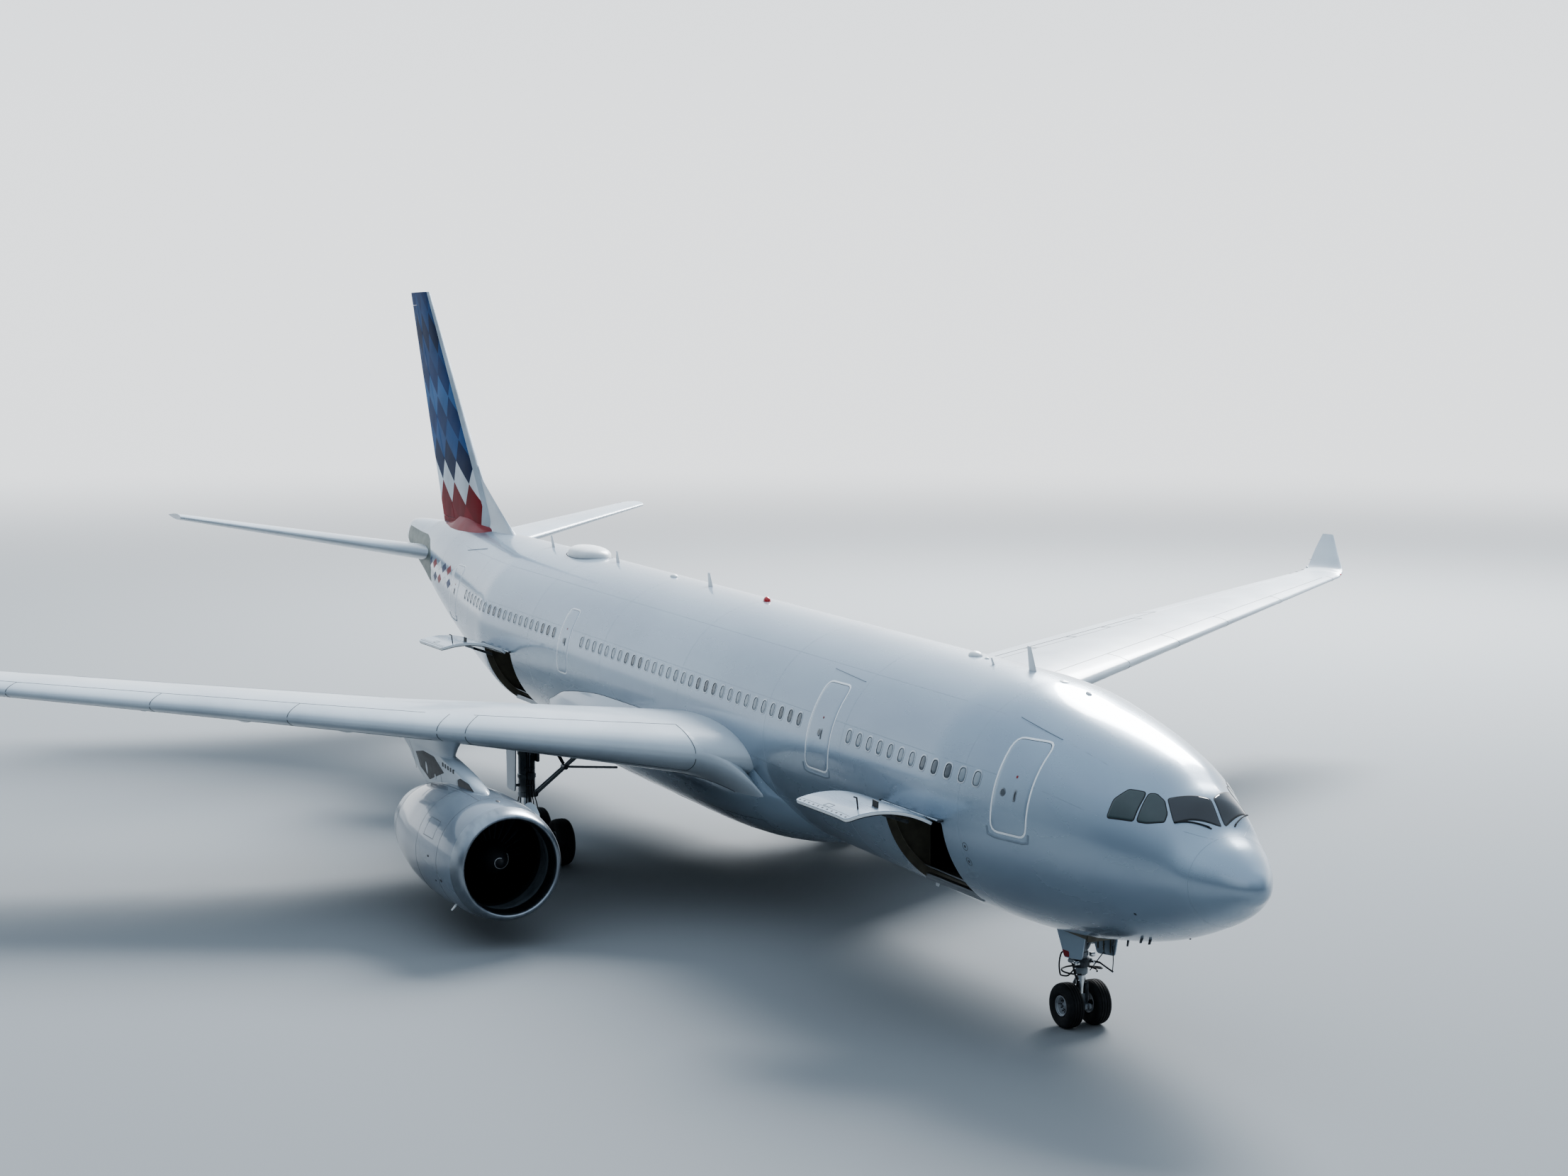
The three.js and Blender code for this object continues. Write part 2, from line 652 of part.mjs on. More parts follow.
for (const [sideName, side] of [["left", 1], ["right", -1]]) {
  const foil = foilSolid([...wingRows, ...wingletRows], side);
  wingWhole.set(sideName, foilSolid(wingRows, side, seatGap));
  let wing = foil.subtract(hullGrown).subtract(fairingGrown);
  for (const { name, ...span } of aileronTable) {
    const { rest, piece, hinge } = hinged(wing, wingRows, side, span);
    wing = rest;
    addPart(`${name}_aileron_${sideName}`, piece, paint.paleGrey);
    addJoint(`${name}_aileron_${sideName}_hinge`, `${name}_aileron_${sideName}`, hinge.start, hinge.finish);
  }
  const pad = rod(
    [wingJack.s, side * wingJack.y, wingJack.face],
    [wingJack.s, side * wingJack.y, wingJack.face + 0.4],
    padRadius,
  );
  wing = joined([wing, pad, ...flapFairings.map((row) => flapFairing(row, side))]);
  addPart(`wing_${sideName}`, wing, paint.paleGrey);

  const tail = foilSolid(tailRows, side).subtract(rearGrown);
  const { rest, piece, hinge } = hinged(tail, tailRows, side, { from: 1.75, to: 9.35, share: 0.69 });
  addPart(`tailplane_${sideName}`, rest, paint.paleGrey);
  addPart(`elevator_${sideName}`, piece, paint.paleGrey);
  addJoint(`elevator_${sideName}_hinge`, `elevator_${sideName}`, hinge.start, hinge.finish);
}

const finWhole = foilSolid(finRows, 1).add(sidePlate(dorsalOutline, -0.09, 0.09)).subtract(rearGrown);
const rudderSplit = hinged(finWhole, finRows, 1, { from: 8.62, to: 16.9, share: 0.68, endGap: 0.12 });
addPart("fin", rudderSplit.rest, paint.white);
addPart("rudder", rudderSplit.piece, paint.darkBlue);
addJoint("rudder_hinge", "rudder", rudderSplit.hinge.start, rudderSplit.hinge.finish);

// The nose wheel well and the nose jack's pad
const noseStation = 6.67;
const noseKeel = centreline(noseStation) + tableAt(hullTable, noseStation, 4);
const wheelWell = { along: [5.7, 7.4], halfWidth: 0.46, roof: noseKeel + 0.85 };
sections.set(
  "cockpit_section",
  sections
    .get("cockpit_section")
    .subtract(block(wheelWell.along, [-wheelWell.halfWidth, wheelWell.halfWidth], [0, wheelWell.roof]))
    .add(rod([noseJack.s, 0, noseJack.face], [noseJack.s, 0, noseJack.face + 0.3], padRadius)),
);
for (const [name] of sectionTable) addPart(name, sections.get(name), paint.silver);
for (const [name, solid] of panels) {
  addPart(name, solid, name === "cockpit_glazing" ? paint.glass : paint.silver);
}
addPart("belly_fairing", bellyFairing, paint.silver);
addPart("satcom_radome", satcomRadome, paint.white);

// Engines

const engineY = 9.37;
const engineZ = 2.15;
const fanStation = 20.05;
const fanRadius = 1.23;
const bladeCount = 26;
const nacelleOuter = [
  // s, radius
  [18.62, 1.27],
  [18.7, 1.36],
  [19.1, 1.46],
  [19.9, 1.54],
  [21.2, 1.57],
  [22.8, 1.5],
  [24.3, 1.3],
  [25.6, 1.0],
];
const nacelleInner = [
  [25.6, 0.96],
  [24, 1.16],
  [21.4, fanRadius + 0.03],
  [19.8, fanRadius + 0.03],
  [19.2, 1.17],
  [18.75, 1.2],
];
const coreProfile = [
  [20.72, 0],
  [20.72, fanRadius + 0.03 - seatGap],
  [21.1, fanRadius + 0.03 - seatGap],
  [21.1, 0.82],
  [23.4, 0.78],
  [24.5, 0.5],
  [25.75, 0.06],
  [25.75, 0],
];
const shaftRadius = 0.14;
const spinnerProfile = [
  [19.3, 0],
  [19.42, 0.16],
  [19.8, 0.36],
  [20.1, 0.44],
  [20.5, 0.46],
  [20.5, 0],
];
const pylonOutline = [
  // s, z
  [20.35, 3.3],
  [20.5, 3.82],
  [21.3, 4.35],
  [22.4, 4.95],
  [23.2, 5.0],
  [28.1, 4.72],
  [28.7, 4.5],
  [27.4, 3.95],
  [25.9, 3.2],
  [24.8, 2.9],
];
const pylonHalfWidth = 0.24;

for (const [sideName, side] of [["left", 1], ["right", -1]]) {
  const axis = [side * engineY, engineZ];
  const nacelle = turned([...nacelleOuter, ...nacelleInner, nacelleOuter[0]], axis);
  const filled = [[18.62, 0], ...nacelleOuter, [25.6, 0]];
  const core = turned(coreProfile, axis).add(
    rod([20.8, side * engineY, engineZ], [20.5 + seatGap, side * engineY, engineZ], shaftRadius),
  );
  const blades = Array.from({ length: bladeCount }, (_, i) => {
    const length = fanRadius + 0.03 - moveGap * 1.6 - 0.3;
    const blade = new THREE.BoxGeometry(0.3 * mm, 0.03 * mm, length * mm);
    blade.rotateZ(side * 0.85);
    blade.translate(0, 0, (0.3 + length / 2) * mm);
    blade.rotateX((2 * Math.PI * i) / bladeCount);
    blade.translate(...place(fanStation + 0.22, side * engineY, engineZ).toArray());
    return solidOf(blade);
  });
  const pylon = sidePlate(pylonOutline, side * engineY - pylonHalfWidth, side * engineY + pylonHalfWidth)
    .subtract(turned(filled, axis, 28, seatGap))
    .subtract(wingWhole.get(sideName));
  addPart(`nacelle_${sideName}`, nacelle, paint.paleGrey);
  addPart(`engine_core_${sideName}`, core, paint.core);
  addPart(`fan_${sideName}`, joined([turned(spinnerProfile, axis, 16), ...blades]), paint.fan);
  addPart(`pylon_${sideName}`, pylon, paint.paleGrey);
  addJoint(
    `fan_${sideName}_spin`,
    `fan_${sideName}`,
    [fanStation, side * engineY, engineZ],
    [fanStation - 1, side * engineY, engineZ],
  );
}

// Landing gear

const tyreSides = 16;
const flatShare = Math.cos(Math.PI / tyreSides); // a flat's distance from the hub, for a radius of 1

// Half of a tyre and its wheel, from the tread's middle out, as shares of half the width.
function tyreProfile(radius, width, rimRadius) {
  const half = width / 2;
  const outline = [
    // across, radius
    [half * 0.45, 0],
    [half * 0.6, rimRadius * 0.92],
    [half, rimRadius + (radius - rimRadius) * 0.4],
    [half * 0.8, radius - width * 0.07],
    [half * 0.5, radius],
  ];
  return [...outline, ...outline.map(([y, r]) => [-y, r]).reverse()];
}

// Two wheels and the axle that joins them.
function wheelPair([s, y, z], { radius, width, track, rimRadius, axleRadius }) {
  const wheels = [-1, 1].map((end) =>
    wheelTurned(tyreProfile(radius, width, rimRadius), [s, y + (end * track) / 2, z], tyreSides),
  );
  const reach = track / 2 + width * 0.25;
  return joined([rod([s, y - reach, z], [s, y + reach, z], axleRadius, axleRadius, 16), ...wheels]);
}

const mainTyre = { radius: 0.7, width: 0.51, track: 1.4, rimRadius: 0.31, axleRadius: 0.09 };
const noseTyre = { radius: 0.525, width: 0.395, track: 0.72, rimRadius: 0.22, axleRadius: 0.06 };
const mainHub = mainTyre.radius * flatShare;
const noseHub = noseTyre.radius * flatShare;

const mainStation = 28.85;
const mainY = 5.34;
const wheelbase = 1.98;
const beamRadius = 0.15;

for (const [sideName, side] of [["left", 1], ["right", -1]]) {
  const y = side * mainY;
  const axles = [
    ["front", mainStation - wheelbase / 2],
    ["rear", mainStation + wheelbase / 2],
  ];
  const sleeve = mainTyre.track / 2 - mainTyre.width / 2 - moveGap;
  let bogie = rod([axles[0][1], y, mainHub], [axles[1][1], y, mainHub], beamRadius);
  bogie = bogie.add(rod([mainStation, y, mainHub], [mainStation, y, mainHub + 0.24], 0.2));
  for (const [, s] of axles) bogie = bogie.add(rod([s, y - sleeve, mainHub], [s, y + sleeve, mainHub], 0.14));
  for (const [, s] of axles) bogie = bogie.subtract(rod([s, y - 1, mainHub], [s, y + 1, mainHub], boreFor(mainTyre.axleRadius)));
  addPart(`bogie_${sideName}`, bogie, paint.gearGrey);

  for (const [end, s] of axles) {
    addPart(`main_wheels_${sideName}_${end}`, wheelPair([s, y, mainHub], mainTyre), paint.tyre);
    addJoint(
      `main_wheels_${sideName}_${end}_spin`,
      `main_wheels_${sideName}_${end}`,
      [s, y, mainHub],
      [s, y + 1, mainHub],
    );
  }

  const legTop = 4.3;
  const cuffHeight = 1.95;
  const braceFoot = [mainStation, y - side * 0.15, 2.35];
  const braceHead = [mainStation - 0.1, side * 3.3, 3.72];
  const doorY = y + side * 0.5;
  let leg = joined([
    rod([mainStation, y, cuffHeight], [mainStation, y, legTop], 0.25, 0.27),
    rod([mainStation, y, mainHub + 0.24 + seatGap], [mainStation, y, cuffHeight + 0.1], 0.17),
    rod(braceFoot, braceHead, 0.09),
    rod([mainStation + 0.05, y, 2.5], [mainStation + 0.9, y, 3.9], 0.06),
    rod([mainStation + 0.3, y, 1.35], [mainStation, y, 1.0], 0.06),
    rod([mainStation + 0.3, y, 1.35], [mainStation + 0.1, y, 2.05], 0.06),
    ...[2.3, 3.5].map((z) => rod([mainStation, y, z], [mainStation, doorY - side * seatGap, z], 0.06)),
  ]);
  leg = leg.subtract(wingWhole.get(sideName)).subtract(fairingGrown);
  addPart(`main_leg_${sideName}`, leg, paint.gearGrey);
  const doorCorners = [
    [mainStation - 0.5, 1.7],
    [mainStation + 0.42, 1.7],
    [mainStation + 0.62, 3.95],
    [mainStation - 0.62, 3.95],
  ];
  const [doorInner, doorOuter] = [doorY, doorY + side * 0.05];
  addPart(
    `main_leg_door_${sideName}`,
    sidePlate(doorCorners, Math.min(doorInner, doorOuter), Math.max(doorInner, doorOuter), 0.12),
    paint.paleGrey,
  );
}

const turnHeight = 1.2; // below this the leg turns with the steering
const noseLeg = joined([
  rod([noseStation, 0, turnHeight], [noseStation, 0, wheelWell.roof - seatGap], 0.15, 0.17),
  rod([noseStation - 0.05, 0, 1.75], [noseStation - 0.75, 0, wheelWell.roof - 0.15], 0.07),
  rod([noseStation, -0.3, noseKeel + 0.4], [noseStation, 0.3, noseKeel + 0.4], 0.08),
]);
const noseSleeve = noseTyre.track / 2 - noseTyre.width / 2 - moveGap;
const towFace = noseStation - 0.36;
const noseSteering = joined([
  rod([noseStation, 0, noseHub], [noseStation, 0, turnHeight - seatGap], 0.11, 0.11),
  rod([noseStation, -noseSleeve, noseHub], [noseStation, noseSleeve, noseHub], 0.12),
  block([towFace, noseStation], [-0.09, 0.09], [noseHub - 0.07, noseHub + 0.07]),
  rod([noseStation + 0.1, 0, noseHub + 0.12], [noseStation + 0.36, 0, noseHub + 0.32], 0.04),
  rod([noseStation + 0.36, 0, noseHub + 0.32], [noseStation + 0.08, 0, noseHub + 0.55], 0.04),
]).subtract(rod([noseStation, -1, noseHub], [noseStation, 1, noseHub], boreFor(noseTyre.axleRadius)));
addPart("nose_leg", noseLeg, paint.gearGrey);
addPart("nose_steering", noseSteering, paint.gearGrey);
addPart("nose_wheels", wheelPair([noseStation, 0, noseHub], noseTyre), paint.tyre);
addJoint("nose_steering_turn", "nose_steering", [noseStation, 0, noseHub], [noseStation, 0, noseHub + 1]);
addJoint("nose_wheels_spin", "nose_wheels", [noseStation, 0, noseHub], [noseStation, 1, noseHub]);
for (const [sideName, side] of [["left", 1], ["right", -1]]) {
  const [inner, outer] = [side * (wheelWell.halfWidth - 0.05), side * (wheelWell.halfWidth - seatGap)];
  const corners = [
    [5.75, noseKeel - 0.5],
    [7.3, noseKeel - 0.62],
    [7.35, noseKeel + 0.2],
    [5.75, noseKeel + 0.2],
  ];
  addPart(
    `nose_gear_door_${sideName}`,
    sidePlate(corners, Math.min(inner, outer), Math.max(inner, outer), 0.1),
    paint.paleGrey,
  );
}
const airliner = new THREE.Group();
airliner.add(...parts);
for (const { name, door, hinge } of cargoDoors) {
  // the door is made shut, then its group turns it open about the hinge along its top edge
  const pivot = place(...hinge);
  const holder = new THREE.Group();
  holder.position.copy(pivot);
  holder.rotation.x = THREE.MathUtils.degToRad(-cargoOpenAngle);
  const mesh = meshOf(`${name}_cargo_door`, door, paint.silver);
  mesh.position.copy(pivot).negate();
  holder.add(mesh);
  airliner.add(holder);
  addJoint(`${name}_cargo_door_hinge`, `${name}_cargo_door`, hinge, [hinge[0] - 1, hinge[1], hinge[2]]);
}
airliner.userData.joints = joints;
airliner.userData.jackPads = [
  ["nose", noseJack.s, 0, noseJack.face],
  ["left", wingJack.s, wingJack.y, wingJack.face],
  ["right", wingJack.s, -wingJack.y, wingJack.face],
].map(([name, ...at]) => ({ name, point: place(...at).multiplyScalar(0.001).toArray() }));

export default airliner;
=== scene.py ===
# A twin-engined wide body airliner parked on its landing gear, as a 1:2 scale model.
import math

import bmesh
import bpy
import numpy as np
from mathutils import Matrix, Vector
from numpy import (
    arange, array, asarray, clip, column_stack, concatenate, cos, cross, interp, linspace, maximum,
    minimum, pi, radians, sin, stack, vstack, where)


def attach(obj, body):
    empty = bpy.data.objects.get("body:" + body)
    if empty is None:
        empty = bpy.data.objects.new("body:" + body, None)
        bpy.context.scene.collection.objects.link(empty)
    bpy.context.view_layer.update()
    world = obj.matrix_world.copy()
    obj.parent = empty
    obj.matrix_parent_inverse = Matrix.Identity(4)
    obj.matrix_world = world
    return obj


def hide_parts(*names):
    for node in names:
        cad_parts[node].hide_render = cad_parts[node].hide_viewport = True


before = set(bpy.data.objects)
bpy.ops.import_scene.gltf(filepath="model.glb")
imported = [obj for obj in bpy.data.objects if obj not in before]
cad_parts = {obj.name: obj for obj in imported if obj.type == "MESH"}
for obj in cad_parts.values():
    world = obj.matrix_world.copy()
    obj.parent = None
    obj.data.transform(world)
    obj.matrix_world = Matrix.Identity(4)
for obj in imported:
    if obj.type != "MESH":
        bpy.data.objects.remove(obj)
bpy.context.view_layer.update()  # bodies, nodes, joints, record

# Sizes are those of the full-size aircraft in metres: s runs aft from the nose tip, y to port and
# z up from the ground. makePiece turns them into the model's own metres.
modelScale = 0.5
overallLength = 58.82
left, right = 1, -1
sides = {"left": left, "right": right}
weldReach = 2e-5  # model metres between points that are joined
rimEase = 0.15  # of a rod's radius


def place(points):
    # the model's X runs forward from the middle of the length
    points = asarray(points, float)
    turned = points * (-1, 1, 1) + (overallLength / 2, 0, 0)
    return turned * modelScale


def smoothRows(table, at, power=1.0):
    # a cubic through each column that never overshoots: its slope at a row is the harmonic mean
    # of the slopes beside it; a power below 1 rounds a blunt first row
    table = asarray(table, float)
    first = table[0, 0]
    knots = (table[:, 0] - first) ** power
    values = table[:, 1:]
    step = np.diff(knots)[:, None]
    rate = np.diff(values, axis=0) / step
    sameWay = rate[:-1] * rate[1:] > 0
    before = where(sameWay, rate[:-1], 1)
    after = where(sameWay, rate[1:], 1)
    nearWeight = 2 * step[1:] + step[:-1]
    farWeight = step[1:] + 2 * step[:-1]
    mean = (nearWeight + farWeight) / (nearWeight / before + farWeight / after)
    slope = vstack([rate[:1], where(sameWay, mean, 0), rate[-1:]])
    x = (clip(at, first, table[-1, 0]) - first) ** power
    i = clip(np.searchsorted(knots, x) - 1, 0, len(knots) - 2)
    width = step[i]
    t = (x - knots[i])[..., None] / width
    rise = t * t * (3 - 2 * t)
    bend = width * t * (1 - t) * ((1 - t) * slope[i] - t * slope[i + 1])
    return values[i] * (1 - rise) + values[i + 1] * rise + bend


def unit(v):
    v = asarray(v, float)
    return v / maximum(np.linalg.norm(v, axis=-1, keepdims=True), 1e-12)


def grid(points, wrap=False, ring=False, caps=False, keep=None, finish=0, uv=None):
    # wrap joins the last column to the first, ring the last row to the first
    return dict(points=asarray(points, float), wrap=wrap, ring=ring, caps=caps, keep=keep, finish=finish,
        uv=uv)


def makePiece(name, finishNames, grids, slotName, *nodes, body="airframe", sharp=38):
    # one mesh of all the grids; a grid's finish is its place among the finish names
    points, faces, finishOf, uvs = [], [], [], []
    start = 0
    for part in grids:
        shape = part["points"].shape
        index = arange(shape[0] * shape[1]).reshape(shape[:2]) + start
        start += index.size
        firstRow, lastRow = index[0].tolist(), index[-1].tolist()
        if part["wrap"]:
            index = concatenate([index, index[:, :1]], 1)
        if part["ring"]:
            index = concatenate([index, index[:1]], 0)
        quads = stack([index[:-1, :-1], index[1:, :-1], index[1:, 1:], index[:-1, 1:]], -1)
        quads = quads.reshape(-1, 4) if part["keep"] is None else quads[part["keep"]]
        made = quads.tolist() + ([firstRow[::-1], lastRow] if part["caps"] else [])
        faces += made
        finishOf += [part["finish"]] * len(made)
        points.append(part["points"].reshape(-1, 3))
        uvs.append(np.zeros((points[-1].shape[0], 2)) if part["uv"] is None else part["uv"].reshape(-1, 2))
    mesh = bpy.data.meshes.new(name)
    mesh.from_pydata(place(vstack(points)).tolist(), [], faces)
    mesh.polygons.foreach_set("material_index", finishOf)
    if any(part["uv"] is not None for part in grids):
        loopVertex = np.zeros(len(mesh.loops), np.int32)
        mesh.loops.foreach_get("vertex_index", loopVertex)
        mesh.uv_layers.new(name="surface").data.foreach_set("uv", vstack(uvs)[loopVertex].ravel())
    work = bmesh.new()
    work.from_mesh(mesh)
    bmesh.ops.remove_doubles(work, verts=work.verts, dist=weldReach)
    bmesh.ops.dissolve_degenerate(work, dist=weldReach / 4, edges=work.edges)
    loose = [v for v in work.verts if not v.link_faces]
    bmesh.ops.delete(work, geom=loose, context="VERTS")
    bmesh.ops.recalc_face_normals(work, faces=work.faces)
    work.to_mesh(mesh)
    work.free()
    mesh.polygons.foreach_set("use_smooth", [True] * len(mesh.polygons))
    mesh.set_sharp_from_angle(angle=math.radians(sharp))
    for key in [finishNames] if isinstance(finishNames, str) else finishNames:
        mesh.materials.append(finishes[key])
    piece = bpy.data.objects.new(name, mesh)
    bpy.context.scene.collection.objects.link(piece)
    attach(piece, body)
    if nodes:
        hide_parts(*nodes)


def turned(profile, origin, finish=0, count=48, axis=(1, 0, 0), ring=False):
    # a lathe: each (along, radius) row is a circle about the axis, at that distance from the origin
    axis = unit(axis)
    helper = (0, 0, 1) if abs(axis[2]) < 0.9 else (1, 0, 0)
    across = unit(cross(axis, helper))
    up = cross(across, axis)
    along, radius = asarray(profile, float).T
    angle = 2 * pi * arange(count) / count
    circle = cos(angle)[:, None] * across + sin(angle)[:, None] * up
    points = asarray(origin, float) + along[:, None, None] * axis + radius[:, None, None] * circle
    return grid(points, wrap=True, ring=ring, finish=finish)


def rod(start, end, radius, finish=0, count=16, endRadius=None):
    # a turned bar with rounded rims at both ends
    start, end = asarray(start, float), asarray(end, float)
    length = np.linalg.norm(end - start)
    endRadius = radius if endRadius is None else endRadius
    cut = min(rimEase * min(radius, endRadius), length / 3)
    profile = [(0, 0), (0, radius - cut), (cut, radius), (length - cut, endRadius),
        (length, endRadius - cut), (length, 0)]
    return turned(profile, start, finish, count, end - start)


def sweep(path, normals, profile, closed=False, finish=0):
    # each (across, out) point of the profile is carried along the path, out along the surface's
    # normal and across square to it, and mitred where the path turns
    path = asarray(path, float)
    normals = unit(np.broadcast_to(normals, path.shape))
    ahead = np.roll(path, -1, 0) - path
    behind = path - np.roll(path, 1, 0)
    if not closed:
        ahead[-1] = behind[-1]
        behind[0] = ahead[0]
    ahead, behind = unit(ahead), unit(behind)
    tangent = unit(ahead + behind)
    mitre = 1 / maximum((tangent * ahead).sum(-1), 0.5)
    side = unit(cross(normals, tangent)) * mitre[:, None]
    out = cross(tangent, unit(side))
    across, lift = asarray(profile, float).T
    points = path[:, None] + across[:, None] * side[:, None] + lift[:, None] * out[:, None]
    return grid(points, wrap=True, ring=closed, caps=not closed, finish=finish)


def strip(width, lift, sink=0.004):
    # profile of a band of this width that stands proud of a skin and starts below it
    half = width / 2
    return [(-half, -sink), (-half, lift * 0.6), (-half * 0.8, lift), (half * 0.8, lift),
        (half, lift * 0.6), (half, -sink)]


def roundedLoop(corners, radius, perSide=6, perCorner=5):
    # straight sides joined by quadratic arcs that leave each corner by its radius
    corners = asarray(corners, float)
    t = linspace(0, 1, perCorner)[:, None]
    loop = []
    for here, before, after in zip(corners, np.roll(corners, 1, 0), np.roll(corners, -1, 0)):
        a = here + unit(before - here) * radius
        b = here + unit(after - here) * radius
        end = after + unit(here - after) * radius
        loop += [(1 - t) ** 2 * a + 2 * t * (1 - t) * here + t * t * b,
            b + (end - b) * linspace(0, 1, perSide + 1)[1:-1, None]]
    return vstack(loop)


def rectangle(s0, s1, z0, z1):
    return [(s0, z0), (s1, z0), (s1, z1), (s0, z1)]


def grown(loop, distance):
    # each point moves out along the mean normal of the loop's sides, whichever way it runs
    ahead = unit(np.roll(loop, -1, 0) - loop)
    behind = unit(loop - np.roll(loop, 1, 0))
    tangent = unit(ahead + behind)
    normal = stack([tangent[:, 1], -tangent[:, 0]], -1)
    area = np.sum(loop[:, 0] * np.roll(loop[:, 1], -1) - loop[:, 1] * np.roll(loop[:, 0], -1))
    return loop + normal * distance * np.sign(area)


def plate(loop, push, bevel=0.01, finish=0):
    # a closed plate: the outline, given as points, pushed along a vector, with its edges eased
    loop = asarray(loop, float)
    push = asarray(push, float)
    depth = np.linalg.norm(push)
    middle = loop.mean(0)
    inner = loop + unit(middle - loop) * bevel
    rows = [inner, loop + push * bevel / depth, loop + push * (1 - bevel / depth), inner + push]
    return grid(rows, wrap=True, caps=True, finish=finish)


def block(low, high, bevel=0.01, finish=0):
    low, high = minimum(low, high), maximum(low, high)
    loop = [(s, y, low[2]) for s, y in rectangle(low[0], high[0], low[1], high[1])]
    return plate(loop, (0, 0, high[2] - low[2]), bevel, finish)


def patch(loop, rows, skin, finish=0, middle=None):
    # a patch of skin: the outline shrinks to its middle, each (share, lift) row at its own lift;
    # skin(first, second, lift) lays the outline's two columns on the surface
    middle = loop.mean(0) if middle is None else middle
    return grid([skin(*(middle + (loop - middle) * share).T, lift) for share, lift in rows], wrap=True,
        finish=finish)


def wholeTurn(count):
    return linspace(0, 2 * pi, count, endpoint=False)


def oval(first, second, halfFirst, halfSecond, count):
    # an ellipse's outline as points
    turn = wholeTurn(count)
    return stack([first + halfFirst * cos(turn), second + halfSecond * sin(turn)], -1)


def aroundAxis(s, middle, radius, angle):
    # points about an axis that runs along the aircraft; the angle runs from the top towards port
    y, z = middle[1] + radius * sin(angle), middle[2] + radius * cos(angle)
    return stack(np.broadcast_arrays(s, y, z), -1)


def upright(outline, y):
    # an (s, z) outline stood up at one y
    return column_stack([outline[:, 0], np.full(len(outline), y), outline[:, 1]])


def pin(middle, half, radius, finish=0, count=16):
    # a rod that reaches as far either way from its middle
    return rod(np.subtract(middle, half), np.add(middle, half), radius, finish, count)


def layers(shares, lift, rim=0.0):
    # rows of a patch: its rim at one lift, the rest at another
    return [(1, rim)] + [(share, lift) for share in shares]


# Finishes

def hexColour(code):
    value = array([int(code[i:i + 2], 16) for i in (1, 3, 5)]) / 255
    linear = where(value <= 0.04045, value / 12.92, ((value + 0.055) / 1.055) ** 2.4)
    return (*linear.tolist(), 1)


def addNode(tree, kind, settings=None, inputs=None):
    node = tree.nodes.new(kind)
    for name, value in (settings or {}).items():
        setattr(node, name, value)
    for key, value in (inputs or {}).items():
        if isinstance(value, bpy.types.NodeSocket):
            tree.links.new(value, node.inputs[key])
        else:
            node.inputs[key].default_value = value
    return node


def startFinish(name):
    material = bpy.data.materials.new(name)
    material.use_nodes = True
    tree = material.node_tree
    tree.nodes.clear()
    return material, tree


def endFinish(tree, inputs):
    shader = addNode(tree, "ShaderNodeBsdfPrincipled", inputs=inputs)
    addNode(tree, "ShaderNodeOutputMaterial", inputs={"Surface": shader.outputs[0]})


def cloudy(tree, size, detail=3.0, stretch=(1, 1, 1)):
    # a noise whose patches are about this size in model metres, stretched along the axes
    spot = addNode(tree, "ShaderNodeTexCoord")
    mapped = addNode(tree, "ShaderNodeMapping", inputs={"Vector": spot.outputs["Object"], "Scale": stretch})
    noise = addNode(tree, "ShaderNodeTexNoise",
        inputs={"Vector": mapped.outputs[0], "Scale": 1 / size, "Detail": detail, "Roughness": 0.5})
    return noise.outputs["Fac"]


def ramp(tree, factor, stops, interpolation="LINEAR"):
    # colours along a factor, from (position, hex) stops
    node = addNode(tree, "ShaderNodeValToRGB", inputs={"Fac": factor})
    node.color_ramp.interpolation = interpolation
    elements = node.color_ramp.elements
    while len(elements) < len(stops):
        elements.new(1)
    for element, (position, code) in zip(elements, stops):
        element.position = position
        element.color = hexColour(code)
    return node.outputs["Color"]


def spread(tree, factor, low, high):
    # a factor brought between two roughness values
    node = addNode(tree, "ShaderNodeMapRange", inputs={"Value": factor, "To Min": low, "To Max": high})
    return node.outputs[0]


def surface(name, dark, light, roughness, metallic=0.0, patch=0.6, stretch=(1, 1, 1), bump=0.0, grain=0.01,
            coat=0.0, coatRoughness=0.05, specular=0.5, ior=1.5, spot=None):
    # the common finish: two tones in soft patches, a little spread of roughness and a fine bump;
    # spot adds a third colour where the noise is highest
    material, tree = startFinish(name)
    factor = cloudy(tree, patch, 4.0, stretch)
    stops = [(0.3, dark), (0.62, light)] + ([(0.75, spot)] if spot else [])
    inputs = {"Base Color": ramp(tree, factor, stops), "Metallic": metallic,
        "Roughness": spread(tree, cloudy(tree, patch * 0.4, 5.0, stretch), *roughness),
        "Coat Weight": coat, "Coat Roughness": coatRoughness}
    if metallic < 0.5:
        inputs["IOR"] = ior
        inputs["Specular IOR Level"] = specular
    if bump:
        height = cloudy(tree, grain, 2.0)
        inputs["Normal"] = addNode(tree, "ShaderNodeBump",
            inputs={"Height": height, "Strength": bump, "Distance": grain}).outputs[0]
    endFinish(tree, inputs)
    return material


